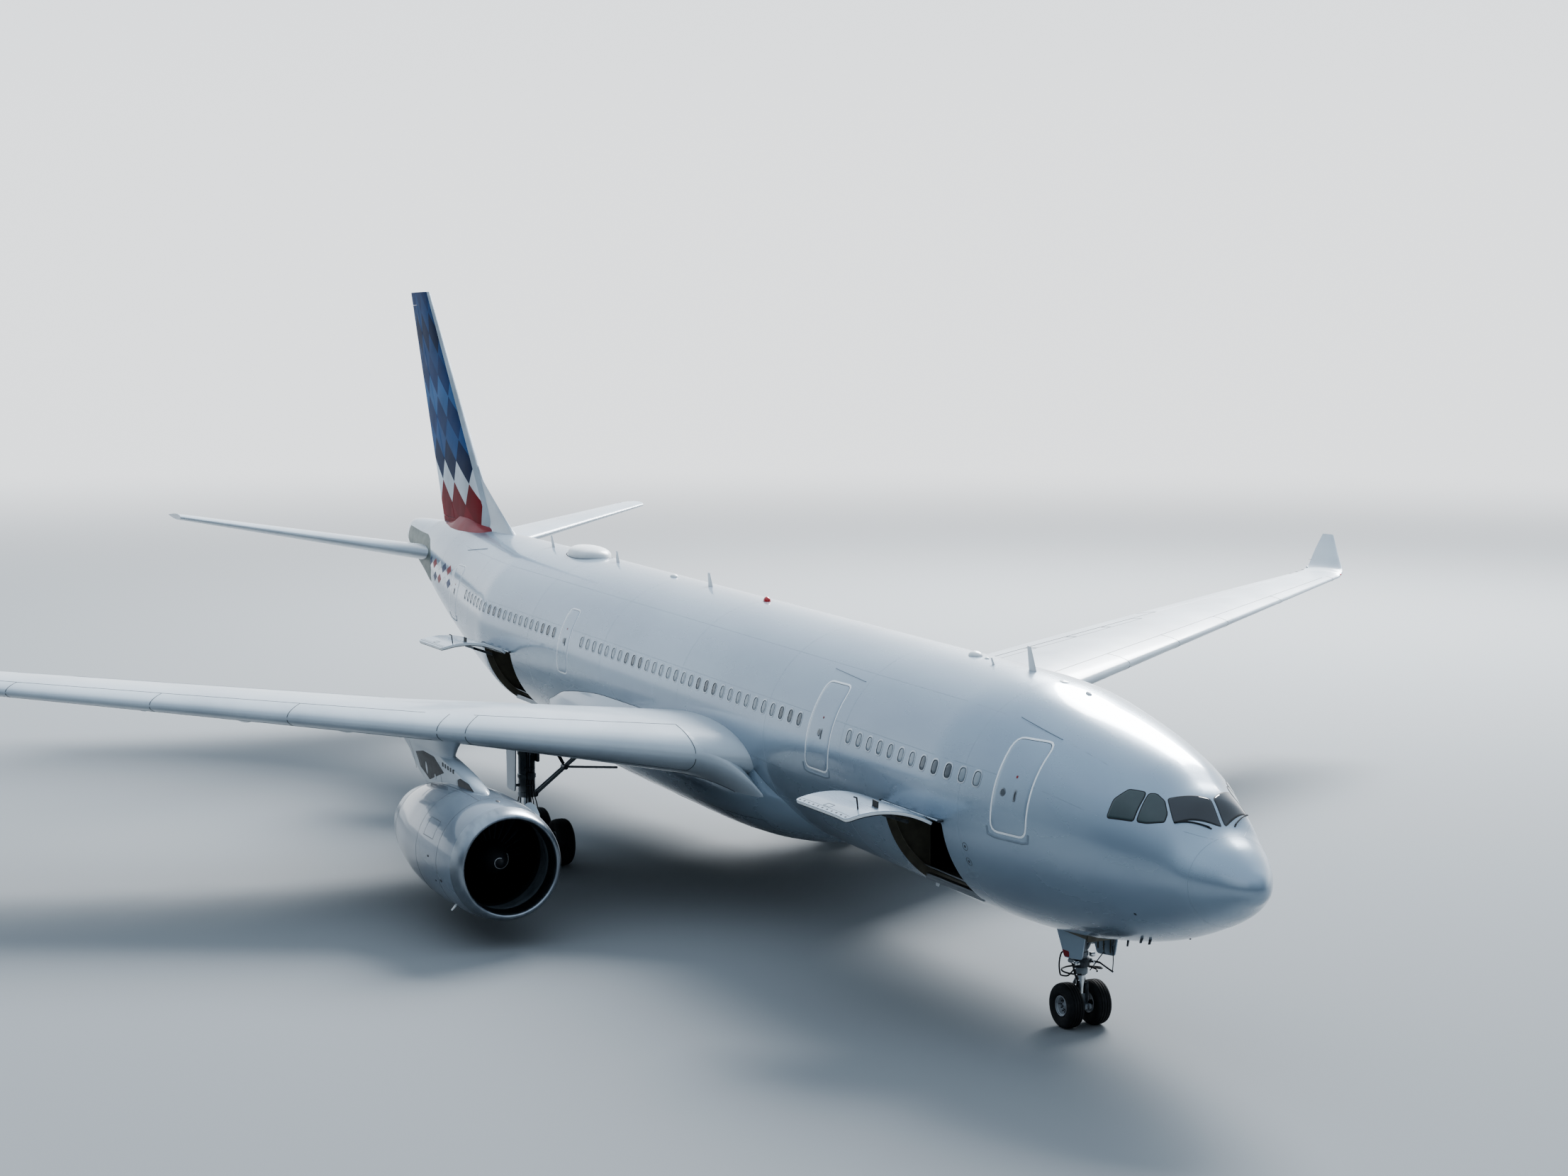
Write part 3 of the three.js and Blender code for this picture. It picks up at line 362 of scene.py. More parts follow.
finishes = {
    # mica topcoat over primer, sprayed: pale silver with a soft metallic sheen under clear lacquer
    "micaPaint": surface("mica_paint_sprayed", "#8a99a8", "#9aa9b6", (0.22, 0.32), 0.4, 1.4, (0.4, 1, 1),
                         coat=0.7, coatRoughness=0.08),
    # polyurethane enamel, sprayed: light grey of wings, tail and cowlings
    "greyEnamel": surface("grey_enamel_sprayed", "#a9b2ba", "#bac3ca", (0.26, 0.38), 0.05, 0.9, (0.6, 1, 1),
                          coat=0.35, coatRoughness=0.1),
    # white enamel of the aerial fairing and the insides of the doors
    "whiteEnamel": surface("white_enamel_sprayed", "#d9dcdd", "#e8eaea", (0.3, 0.42), 0, 0.4, coat=0.2),
    # darker glossy enamel of the engine cowls
    "cowlEnamel": surface("blue_grey_enamel_sprayed", "#66727e", "#76828e", (0.2, 0.3), 0.1, 0.9,
        (0.6, 1, 1),
                          coat=0.8, coatRoughness=0.06),
    # bare aluminium, polished by hand: leading edges and inlet lips; its dark grey is painted shade and a
    # painted reflection of a dark ground
    "lipAluminiumShaded": surface("aluminium_polished_painted_shade", "#858c94", "#9aa1a8", (0.26, 0.36), 1, 0.3,
        (1, 3, 1)),
    # bright rolled aluminium of sills and scuff plates
    "brushedAluminium": surface("aluminium_brushed", "#8f9397", "#b0b4b7", (0.3, 0.45), 1, 0.05,
        (0.2, 1, 4)),
    # polysulphide sealant in the joints: dull dark grey
    "sealant": surface("polysulphide_sealant", "#2c3034", "#3d4247", (0.55, 0.7), 0, 0.05),
    # faint panel joints under the topcoat
    "panelJoint": surface("panel_joint_painted", "#7e8a96", "#8b97a2", (0.35, 0.45), 0.2, 0.2),
    # acrylic outer pane with its white blind drawn behind it; its light grey is partly painted reflection of
    # the sky
    "cabinPane": surface("acrylic_pane_blind_painted_sky", "#7c8891", "#929da5", (0.06, 0.12), 0, 0.25, coat=0.4,
        ior=1.49),
    # acrylic outer pane with the dim cabin behind it
    "openPane": surface("acrylic_pane_dim", "#3b444b", "#566068", (0.06, 0.12), 0, 0.25, coat=0.4,
        ior=1.49),
    # laminated glass of the windscreen, with a faint green cast; its near-black colour is painted shade of
    # the unlit flight deck behind it
    "windscreenGlass": surface("laminated_glass_dark", "#0b1016", "#18212a", (0.04, 0.08), 0, 0.8, coat=0.6,
                               coatRoughness=0.03, ior=1.52),
    # the side panes of the flight deck, thinner and greener; their dark colour too is painted shade of the
    # flight deck behind them
    "sideGlass": surface("laminated_glass_green", "#1d2b2d", "#314344", (0.04, 0.08), 0, 0.8, coat=0.6,
                         coatRoughness=0.03, ior=1.52),
    # black rubber weather seal round glass and doors
    "blackSeal": surface("rubber_seal_black", "#101214", "#1c1f22", (0.5, 0.65), 0, 0.03),
    # light grey polyurethane over forged steel: legs, bogies and links, with paler worn patches
    "gearEnamel": surface("gear_enamel_over_steel", "#6f767c", "#8f969b", (0.35, 0.55), 0.1, 0.25,
        bump=0.08,
                          grain=0.004, coat=0.15, spot="#a2a8ac"),
    # chromium plate on the sliding pistons
    "chromePlate": surface("chromium_plate", "#b9bdc1", "#d5d8da", (0.06, 0.14), 1, 0.1),
    # zinc-nickel plated steel of bolts, unions and brake housings
    "platedSteel": surface("plated_steel_dark", "#3b3e42", "#5a5e62", (0.35, 0.55), 0.9, 0.05),
    # tyre tread and walls: carbon-black rubber, dusty where it is highest
    "tyreRubber": surface("tyre_rubber_vulcanised", "#131415", "#1d1e20", (0.7, 0.88), 0, 0.12, bump=0.25,
                          grain=0.004, specular=0.35, spot="#2a2b2c"),
    # forged aluminium wheels in pale grey enamel with brake dust
    "wheelEnamel": surface("wheel_enamel_grey", "#8b9095", "#a9adb1", (0.35, 0.5), 0.2, 0.08,
        spot="#6e7174"),
    # rubber hoses in a braided cover
    "hoseRubber": surface("hose_rubber_braided", "#0e0f10", "#191b1d", (0.5, 0.65), 0, 0.02, bump=0.2,
        grain=0.002),
    # epoxy primer of doorway frames, dull olive
    "framePrimer": surface("epoxy_primer_olive", "#57544a", "#6c685b", (0.45, 0.6), 0, 0.2),
    # glass fibre lining of the holds, dull and scuffed
    "holdLining": surface("glass_fibre_lining", "#4b4a42", "#5f5d54", (0.6, 0.75), 0, 0.3, spot="#6f6c61"),
    # red enamel of the fairing at the fin's foot and of the rear lozenges
    "redEnamel": surface("red_enamel_sprayed", "#7f1620", "#8f1d28", (0.4, 0.5), 0, 0.6, coat=0.1,
        specular=0.3),
    # navy enamel of the rear lozenges
    "navyEnamel": surface("navy_enamel_sprayed", "#132a4f", "#19345f", (0.4, 0.5), 0, 0.6, coat=0.1,
        specular=0.3),
    # nickel alloy of the exhaust, straw and blue from heat
    "exhaustAlloy": surface("nickel_alloy_heated", "#4b4743", "#6d675f", (0.3, 0.5), 1, 0.3, (0.4, 1, 1),
        spot="#59606d"),
    # forged titanium fan blades; their near-black colour is painted shade of the duct
    "fanTitaniumInShade": surface("titanium_forged_painted_shade", "#1b1e22", "#2c3035", (0.28, 0.4), 1, 0.15),
    # charcoal paint: dark acoustic lining and painted spinner; also the dark patches that are painted shade
    # in bays, holes and openings
    "ductPaint": surface("charcoal_paint_and_painted_shade", "#1b1d20", "#292c30", (0.4, 0.55), 0, 0.2),
    # acoustic lining of the inlet: grey perforated sheet
    "acousticSheet": surface("acoustic_sheet_grey", "#5d656c", "#747c83", (0.4, 0.55), 0.4, 0.2, bump=0.15,
        grain=0.003),
    # coloured and clear lamp covers
    "redLens": surface("lamp_lens_red", "#a01418", "#c4262a", (0.08, 0.15), 0, 0.05, coat=0.6),
    "greenLens": surface("lamp_lens_green", "#0f7a48", "#1d9a5e", (0.08, 0.15), 0, 0.05, coat=0.6),
    "clearLens": surface("lamp_lens_clear", "#8f979c", "#c3cacd", (0.05, 0.1), 0.3, 0.05, coat=0.8),
    # pale stripe round each cabin door, its handle plate and the red spot above
    "paleBand": surface("pale_stripe_painted", "#e2e6e9", "#eef1f3", (0.3, 0.4), 0.1, 0.4, coat=0.2),
    "handlePlate": surface("stainless_plate", "#6c7278", "#8a9096", (0.3, 0.45), 0.9, 0.04),
    "warningRed": surface("red_enamel_spot", "#7d1f22", "#93282b", (0.4, 0.5), 0, 0.05),
    # aluminium rims of the cabin windows, and the dull steel sheet at the tailplanes' roots
    "windowRim": surface("window_rim_aluminium", "#a3abb3", "#bcc3ca", (0.25, 0.4), 0.7, 0.1),
    "apronSteel": surface("steel_sheet_dull", "#555e5b", "#69726d", (0.35, 0.5), 0.7, 0.3),
}
print("finishes made")


# Fuselage skin

hullTable = [
    # s, half width, then crown, widest line and keel above the centreline
    (0, 0, -0.45, -0.45, -0.45),
    (0.08, 0.23, -0.18, -0.45, -0.67),
    (0.3, 0.47, 0.02, -0.44, -0.85),
    (0.7, 0.77, 0.29, -0.42, -1.16),
    (1.1, 1.02, 0.48, -0.39, -1.38),
    (1.35, 1.12, 0.63, -0.37, -1.5),
    (1.78, 1.25, 1.13, -0.34, -1.69),
    (2.3, 1.44, 1.41, -0.28, -1.9),
    (3.1, 1.78, 1.8, -0.2, -2.16),
    (4.2, 2.07, 2.15, -0.1, -2.42),
    (5.6, 2.36, 2.46, 0, -2.66),
    (7.6, 2.69, 2.76, 0, -2.8),
    (9, 2.82, 2.82, 0, -2.82),
    (40.5, 2.82, 2.82, 0, -2.82),
    (42, 2.66, 2.82, 0.02, -2.56),
    (44, 2.4, 2.82, 0.08, -2.08),
    (46, 2.13, 2.82, 0.2, -1.55),
    (48.5, 1.8, 2.82, 0.5, -0.86),
    (51, 1.42, 2.77, 0.9, -0.23),
    (53, 1.08, 2.7, 1.2, 0.29),
    (54.4, 0.87, 2.64, 1.4, 0.64),
    (56, 0.63, 2.56, 1.67, 1.09),
    (57, 0.45, 2.48, 1.86, 1.41),
    (57.5, 0.28, 2.35, 1.97, 1.66),
]
hullRadius = 2.82


def centreline(s):
    return 4.862 + 0.01633 * asarray(s, float)


def hullShape(s):
    return np.moveaxis(smoothRows(hullTable, s, 0.5), -1, 0)


def hullPoint(s, angle, lift=0.0):
    # half an ellipse above the widest line and half of one below it; the angle is 0 at port and
    # a quarter turn at the crown
    s, angle = np.broadcast_arrays(asarray(s, float), angle)
    halfWidth, crown, waist, keel = hullShape(s)
    rise = sin(angle)
    height = where(rise > 0, crown - waist, waist - keel) + lift
    return stack([s, cos(angle) * (halfWidth + lift), centreline(s) + waist + rise * height], -1)


def hullNormal(s, angle):
    nudge = 1e-3
    along = hullPoint(s + nudge, angle) - hullPoint(maximum(s - nudge, 0), angle)
    around = hullPoint(s, angle + nudge) - hullPoint(s, angle - nudge)
    return unit(cross(around, along))


def hullAngle(s, rise, side, y=None):
    # the angle of a height above the centreline on one side, or of a height and a y together
    halfWidth, crown, waist, keel = hullShape(s)
    up = asarray(rise, float) - waist
    share = clip(up / where(up > 0, crown - waist, waist - keel), -1, 1)
    across = np.sqrt(1 - share ** 2) * side if y is None else y / halfWidth
    return np.arctan2(share, across)


def onSide(loop, side, lift=0.0):
    # points (s, height above the centreline at the loop's middle) laid on the skin
    loop = asarray(loop, float)
    base = centreline(loop[:, 0].mean()) - centreline(loop[:, 0])
    angle = hullAngle(loop[:, 0], loop[:, 1] + base, side)
    return hullPoint(loop[:, 0], angle, lift), hullNormal(loop[:, 0], angle)


def sideBand(loop, side, width, lift=0.003, closed=True, finish=0):
    points, normals = onSide(loop, side)
    return sweep(points, normals, strip(width, lift), closed, finish)


def sidePanel(loop, side, rows, finish=0):
    return patch(loop, rows, lambda s, rise, lift: onSide(stack([s, rise], -1), side, lift)[0], finish)


def blister(s, angle, halfLength, halfWidth, height, finish=0, point=hullPoint, reach=2.8, bulge=2.0):
    # half an ellipsoid on a skin of this radius: its lift falls to nothing at the rim; a bulge
    # above 2 makes it flatter on top with steeper ends
    share = cos(linspace(0, pi / 2, 9))[:, None]
    turn = wholeTurn(28)[None]
    at = s + halfLength * share * cos(turn)
    around = angle + halfWidth / reach * share * sin(turn)
    lift = height * (1 - share ** bulge) ** (1 / bulge) + 0 * turn
    rim = point(at[:1], around[:1], -0.02)
    return grid(concatenate([rim, point(at, around, lift)]), wrap=True, finish=finish)


def mast(base, normal, chord, height, rake=0.5, taper=0.6, thick=0.14, finish=0):
    # an upright blade: an ellipse of a section that shrinks and slides aft as it rises
    rise = array([-0.1, 0, 0.3, 0.6, 0.85, 0.96, 1])[:, None]
    size = chord * (1 - (1 - taper) * clip(rise, 0, 1)) * where(rise == 1, 0.8, 1)
    turn = wholeTurn(16)
    normal = unit(normal)
    aft = unit(array([1, 0, 0]) - normal[0] * normal)
    across = cross(normal, aft)
    along = rise * rake * height + size / 2 * cos(turn)
    side = size / 2 * thick * sin(turn)
    points = base + rise[..., None] * height * normal + along[..., None] * aft + side[..., None] * across
    return grid(points, wrap=True, caps=True, finish=finish)


def hullMast(s, degrees, *sizes, **options):
    angle = math.radians(degrees)
    return mast(hullPoint(s, angle), hullNormal(s, angle), *sizes, **options)


def hullJoint(path, width=0.014, lift=0.0015, closed=False, finish=0):
    # a thin ribbon along (s, angle) points of the hull
    s, angle = asarray(path, float).T
    return sweep(hullPoint(s, angle), hullNormal(s, angle), strip(width, lift, 0.003), closed, finish)


columnStep = 2.5  # degrees
wellHalfWidth = 0.46
doorwayAngles = (187.5, 236.0)  # of the cargo doorways' top and bottom edges, on the right


def hullColumns(s):
    # even columns, with one moved onto each edge of the doorways and the nose wheel well
    angle = radians(arange(0, 360, columnStep))[None] + np.zeros((len(s), 1))
    half = hullShape(s)[0]
    well = np.arcsin(wellHalfWidth / maximum(half, 2.3))
    angle[:, round(260 / columnStep)] = radians(270) - well
    angle[:, round(280 / columnStep)] = radians(270) + well
    for edge in doorwayAngles:
        angle[:, round(edge / columnStep)] = math.radians(edge)
    return angle


sectionTable = [
    # node, first and last station, step, opening (s0, s1, first and last column)
    ("radome", 0, 1.1, 0.05, None),
    ("cockpit_section", 1.1, 7.6, 0.06, (5.7, 7.4, 260, 280)),
    ("forward_fuselage", 7.6, 17.5, 0.12, (8.25, 11, 187.5, 236)),
    ("centre_fuselage", 17.5, 36, 0.2, None),
    ("aft_fuselage", 36, 43, 0.12, (37.65, 40.4, 187.5, 236)),
    ("rear_fuselage", 43, 54.4, 0.12, None),
    ("tail_cone", 54.4, 57.5, 0.08, None),
]


def hullSection(name, s0, s1, step, opening):
    count = max(int((s1 - s0) / step), 8)
    stations = linspace(s0, s1, count + 1)
    if name == "radome":
        stations = s0 + (s1 - s0) * linspace(0, 1, 41) ** 2
    if opening:
        for edge in opening[:2]:
            stations[np.argmin(abs(stations - edge))] = edge
    angles = hullColumns(stations)
    points = hullPoint(stations[:, None], angles)
    keep = np.ones((len(stations) - 1, angles.shape[1]), bool)
    if opening:
        rows = (stations[:-1] >= opening[0] - 1e-6) & (stations[1:] <= opening[1] + 1e-6)
        first, last = [round(edge / columnStep) for edge in opening[2:]]
        keep[np.ix_(rows, arange(first, last))] = False
    makePiece(f"skin_{name}", "micaPaint", [grid(points, wrap=True, keep=keep)], "silver_paint", name)


for row in sectionTable:
    hullSection(*row)
print("fuselage skin made")

# Cabin doors

cabinDoor = dict(corner=0.2, lift=0.004, band=0.05, seam=0.018, window=0.07)
cabinDoors = {
    # s range, heights above the centreline, and the rain gutter's front and rear end over it
    "door_1": ((5.36, 6.44), (-0.2, 1.78), (5.3, 1.88, 6.83, 2.17)),
    "door_2": ((13.9, 15.1), (-0.24, 1.83), (13.49, 2.01, 15.29, 2.12)),
    "door_3": ((32.2, 33.05), (-0.32, 1.6), None),
    "door_4": ((45.2, 46.4), (-0.1, 1.68), (44.54, 2.4, 46.37, 2.21)),
}


def doorPanel(name, side, sideName):
    (s0, s1), (low, high), gutterEnds = cabinDoors[name]
    loop = roundedLoop(rectangle(s0, s1, low, high), cabinDoor["corner"], 9)
    lift = cabinDoor["lift"]
    rows = [(1, -0.02), (0.996, lift * 0.7), (0.99, lift)]
    rows += [(share, lift) for share in (0.85, 0.7, 0.55, 0.4, 0.25, 0.1, 0)]
    parts = [sidePanel(loop, side, rows), sideBand(loop, side, cabinDoor["seam"], 0.0015, finish=1),
        sideBand(grown(loop, 0.028), side, cabinDoor["band"], 0.003, finish=2)]
    middle, eye, wide = (s0 + s1) / 2, 0.66 if name != "door_4" else 0.8, cabinDoor["window"]
    ahead = middle + (0.27 if name == "door_1" else 0)

    def spot(s, height, half, tall, finish, raised=0.004, corner=0.9):
        # a small rounded plate on the door
        outline = oval(s, height, half, tall, 24)
        if corner < 0.9:
            outline = roundedLoop(rectangle(s - half, s + half, height - tall, height + tall),
                half * corner, 2, 5)
        return sidePanel(outline, side, layers((0.92, 0.4, 0), lift + raised, lift), finish)

    parts += [spot(ahead, eye, wide + 0.025, wide + 0.025, 4), spot(ahead, eye, wide, wide, 3, 0.006),
        spot(middle - 0.12, eye - 0.02, 0.045, 0.13, 4, corner=0.5),
        spot(middle - 0.12, eye - 0.02, 0.014, 0.1, 1, 0.008), spot(middle - 0.03, 1.03, 0.03, 0.03, 5)]
    sill = array([(s0 - 0.1, low + 0.06), (s0 - 0.08, low - 0.11), (s0 + 0.1, low - 0.15),
        (middle, low - 0.15), (s1 - 0.1, low - 0.15), (s1 + 0.12, low - 0.11), (s1 + 0.16, low + 0.06)])
    if name != "door_3":
        parts.append(sideBand(sill, side, 0.06, 0.01, closed=False, finish=6))
    if gutterEnds:
        ends = array(gutterEnds).reshape(2, 2)
        gutter = array([ends[0] + (ends[1] - ends[0]) * t for t in linspace(0, 1, 10)])
        parts.append(sideBand(gutter, side, 0.018, 0.014, closed=False, finish=6))
    made = ("micaPaint", "sealant", "paleBand", "openPane", "handlePlate", "warningRed", "panelJoint")
    makePiece(f"panel_{name}_{sideName}", made, parts, "silver_paint", f"{name}_{sideName}")


for sideName, side in sides.items():
    for name in cabinDoors:
        doorPanel(name, side, sideName)
print("cabin doors made")

# Cabin windows

cabinWindow = dict(outer=(0.3, 0.4), pane=(0.215, 0.305), pitch=0.533, height=0.8)
windowRuns = [(7.09, 13.1), (15.7, 31.4), (33.62, 43.8)]


def windowLoop(s, rise, size, perSide=2):
    return roundedLoop(rectangle(s - size[0] / 2, s + size[0] / 2, rise - size[1] / 2, rise + size[1] / 2),
        min(size) * 0.46, perSide, 4)


def cabinWindowRow(sideName, side):
    stations = concatenate([arange(a, b, cabinWindow["pitch"]) for a, b in windowRuns])
    rims, panes, seals = [], ([], []), []
    for index, s in enumerate(stations):
        rise = cabinWindow["height"] + 0.1 * clip((s - 40) / 4, 0, 1)
        outer = windowLoop(s, rise, cabinWindow["outer"])
        inner = windowLoop(s, rise, cabinWindow["pane"])
        rows = [onSide(outer, side, -0.006)[0], onSide(outer, side, 0.004)[0],
            onSide((outer * 0.6 + inner * 0.4), side, 0.007)[0], onSide(inner, side, 0.005)[0],
            onSide(inner, side, -0.006)[0]]
        rims.append(grid(rows, wrap=True))
        # three blinds in ten are up, side by side
        raised = (index * 7 + (3 if side > 0 else 0)) % 10 in (1, 4, 8)
        panes[raised].append(sidePanel(inner, side,
            [(1.06, -0.004), (1, 0.0015), (0.5, 0.0025), (0, 0.0025)]))
        # the dark ring is the rubber seal and also stands in as painted shade of the window's recess
        seals.append(sideBand(inner * 0.94 + outer * 0.06, side, 0.014, 0.007))
    makePiece(f"cabin_window_rims_{sideName}", "windowRim", rims, "bare_metal")
    makePiece(f"cabin_window_seals_and_shade_{sideName}", "sealant", seals, "dark_seal")
    # panes with drawn blinds carry a painted reflection of the sky
    for key, some in zip(("cabinPane", "openPane"), panes):
        makePiece(f"{'shaded' if key == 'cabinPane' else 'open'}_window_panes_{sideName}", key, some,
            "cockpit_glass")


for sideName, side in sides.items():
    cabinWindowRow(sideName, side)
print("cabin windows made")

# Flight deck windows

paneTable = {
    # corners s, y, height above the centreline, on the right
    "windscreen": [(2.227, -0.766, 1.106), (1.777, -0.048, 1.123), (1.369, -0.053, 0.652),
        (1.813, -0.897, 0.714)],
    "middle_pane": [(2.52, -1.326, 0.631), (2.597, -0.985, 1.16), (2.485, -0.885, 1.173),
        (2.258, -0.842, 1.063),
                    (2.041, -0.922, 0.846), (1.999, -1.018, 0.697), (2.318, -1.22, 0.629)],
    "rear_pane": [(3.157, -1.647, 0.624), (3.171, -1.473, 0.976), (2.993, -1.218, 1.196),
        (2.682, -1.026, 1.181),
                  (2.646, -1.088, 1.093), (2.609, -1.376, 0.631)],
}


def paneOutline(corners, side, radius=0.05):
    # straight edges in space between the corners, laid on the skin as (s, arc length)
    s, y, rise = roundedLoop([(s, side * abs(y), rise) for s, y, rise in corners], radius, 10, 5).T
    return stack([s, hullAngle(s, rise, side, y) * 1.6], -1)


def paneGrid(loop, rows, finish=0):
    return patch(loop, rows, lambda s, around, lift: hullPoint(s, around / 1.6, lift), finish)


def flightDeck():
    glass, border = [], []
    innerShares = linspace(0.88, 0, 9)
    for side in sides.values():
        for name, corners in paneTable.items():
            loop = paneOutline(corners, side)
            glass.append(paneGrid(loop, [(1, -0.01)] + layers((0.98, *innerShares), 0.009, 0.006),
                int(name != "windscreen")))
            border.append(paneGrid(grown(loop, 0.022),
                [(1, -0.01), (1, 0.004), (0.97, 0.006)] + [(share, 0.004) for share in innerShares]))
    makePiece("flight_deck_glass", ("windscreenGlass", "sideGlass"), glass, "cockpit_glass",
        "cockpit_glazing")
    makePiece("flight_deck_seals", "blackSeal", border, "dark_seal")
    wipers = []
    for side in sides.values():
        s, y, rise = [linspace(a, b, 14) for a, b in ((1.39, 1.8), (0.31 * side, 0.89 * side),
            (0.61, 0.685))]
        angle = hullAngle(s, rise, side, y)
        points, normals = hullPoint(s, angle, 0.03), hullNormal(s, angle)
        wipers += [sweep(points, normals, strip(0.026, 0.012, 0.012)),
            rod(hullPoint(1.37, float(hullAngle(1.37, 0.61, side, 0.285 * side))), points[1], 0.02, 0, 8,
            0.014)]
    makePiece("wipers", "blackSeal", wipers, "dark_seal")


flightDeck()
print("flight deck windows made")

# Belly fairing

fairingCentre = -1.6
fairingTable = [
    # s, half width, height above and depth below the fairing's middle line
    (16.9, 1.9, 1, 1.15),
    (17.6, 2.35, 0.8, 1.36),
    (18.7, 2.72, 3.6, 1.56),
    (20.1, 2.88, 3.9, 1.72),
    (22.2, 2.97, 3.56, 1.8),
    (28.9, 2.97, 2.84, 1.8),
    (32.8, 2.75, 2.33, 1.56),
    (34.8, 2.42, 0.8, 1.34),
    (36.3, 1.9, 0.6, 1.1),
]


def fairingPoint(s, angle, lift=0.0):
    # an ellipse about the fairing's middle line, with its own height above and depth below
    halfWidth, up, down = np.moveaxis(smoothRows(fairingTable, s), -1, 0)
    rise = sin(angle)
    height = where(rise > 0, up, down) + lift
    s = np.broadcast_to(s, height.shape)
    return stack([s, cos(angle) * (halfWidth + lift), centreline(s) + fairingCentre + rise * height], -1)


def bellyFairing():
    stations = concatenate([linspace(16.9, 22.2, 60), linspace(22.3, 36.3, 90)])
    angle = wholeTurn(128)
    points = fairingPoint(stations[:, None], angle[None])
    makePiece("belly_fairing_skin", "micaPaint", [grid(points, wrap=True, caps=True)], "silver_paint",
        "belly_fairing")


fairingLine = [(23.94, 13), (22.76, 14.5), (21.78, 15.5), (21.0, 15), (20.5, 14), (19.98, 12.5),
    (19.48, 10.5),
               (18.86, 8), (18.36, 5.5)]  # s, degrees above level
fairingPanels = [
    # s range and degrees below level: wheel bay doors, then access panels
    (27.2, 31.2, 38, 88), (18.6, 20.6, 30, 52), (20.9, 22.8, 30, 60), (23.2, 25.1, 45, 80),
    (32, 33.8, 40, 75),
]


def fairingSeams():
    # the joint follows, station by station, the highest place of the fairing outside the fuselage
    s = linspace(17.6, 36, 160)
    points = fairingPoint(s[:, None], radians(linspace(-80, 60, 1401))[None])
    halfWidth, crownHigh, waist, keelLow = hullShape(s[:, None])
    up = points[..., 2] - centreline(s[:, None]) - waist
    share = up / where(up > 0, crownHigh - waist, waist - keelLow)
    outside = (points[..., 1] / halfWidth) ** 2 + share ** 2 > 1
    last = outside.shape[1] - 1 - np.argmax(outside[:, ::-1], 1)
    edge = where(outside.any(1))[0]
    parts = []
    for side in sides.values():
        at = points[edge, last[edge]] * (1, side, 1)
        angle = np.arctan2(share[edge, last[edge]], at[:, 1] / halfWidth[edge, 0])
        parts.append(sweep(at, hullNormal(s[edge], angle), strip(0.016, 0.003, 0.012)))
        line, degrees = array(fairingLine).T
        for loop, closed in [(stack([line, degrees], -1), False)] + [
                (roundedLoop(rectangle(a, b, -high, -low), 0.2, 8, 3), True) for a, b, low,
                high in fairingPanels]:
            around = radians(loop[:, 1])
            around = around if side == left else pi - around
            outward = stack([0 * around, cos(around), sin(around)], -1)
            parts.append(sweep(fairingPoint(loop[:, 0], around), outward, strip(0.01, 0.003, 0.006),
                closed))
    makePiece("fairing_joints", "sealant", parts, "dark_seal")


bellyFairing()
fairingSeams()
print("belly fairing made")

# Cargo doorways and doors, on the right

cargo = dict(angles=(7.5, 56), depth=0.085, gap=0.02, corner=0.15, turn=-128, hinge=2.855, frame=0.2)
cargoDoors = {
    # doorway and hold along the hull
    "forward": ((8.25, 11), (7.9, 13.4)),
    "aft": ((37.65, 40.4), (36.4, 42)),
}
hold = dict(floor=-2.2, roof=-0.42, halfWidth=1.5)
perMetre = math.degrees(1 / hullRadius)  # degrees round the hull


def belowLevel(s, degrees, lift=0.0):
    # a place on the right-hand skin by its angle below level
    return hullPoint(s, radians(180 + asarray(degrees, float)), lift)


def doorwayLoop(ends, inset=0.0, corner=None):
    # the doorway's outline as (s, degrees below level)
    low, high = [angle / perMetre for angle in cargo["angles"]]
    corners = rectangle(ends[0] + inset, ends[1] - inset, low + inset, high - inset)
    return roundedLoop(corners, corner or cargo["corner"], 12, 6) * (1, perMetre)


def doorwayShell(loop, rows, finish=0):
    return patch(loop, rows, belowLevel, finish, (loop.max(0) + loop.min(0)) / 2)


def doorwayBand(loop, lift, width, height, inward=True, closed=True, finish=0):
    points = belowLevel(*loop.T, lift)
    normals = hullNormal(loop[:, 0], radians(180 + loop[:, 1])) * (-1 if inward else 1)
    return sweep(points, normals, strip(width, height), closed, finish)


def hingeLine(ends):
    # level, at the skin of the doorway's middle
    angle = math.radians(cargo["angles"][0])
    middle = centreline(sum(ends) / 2)
    return array([0, -cargo["hinge"] * math.cos(angle), middle - cargo["hinge"] * math.sin(angle)])


def swungOpen(part, hinge):
    # turned about the hinge line from shut to open
    turn = math.radians(cargo["turn"])
    offset = part["points"] - hinge
    y = offset[..., 1] * math.cos(turn) - offset[..., 2] * math.sin(turn)
    z = offset[..., 1] * math.sin(turn) + offset[..., 2] * math.cos(turn)
    part["points"] = stack([part["points"][..., 0], hinge[1] + y, hinge[2] + z], -1)
    return part


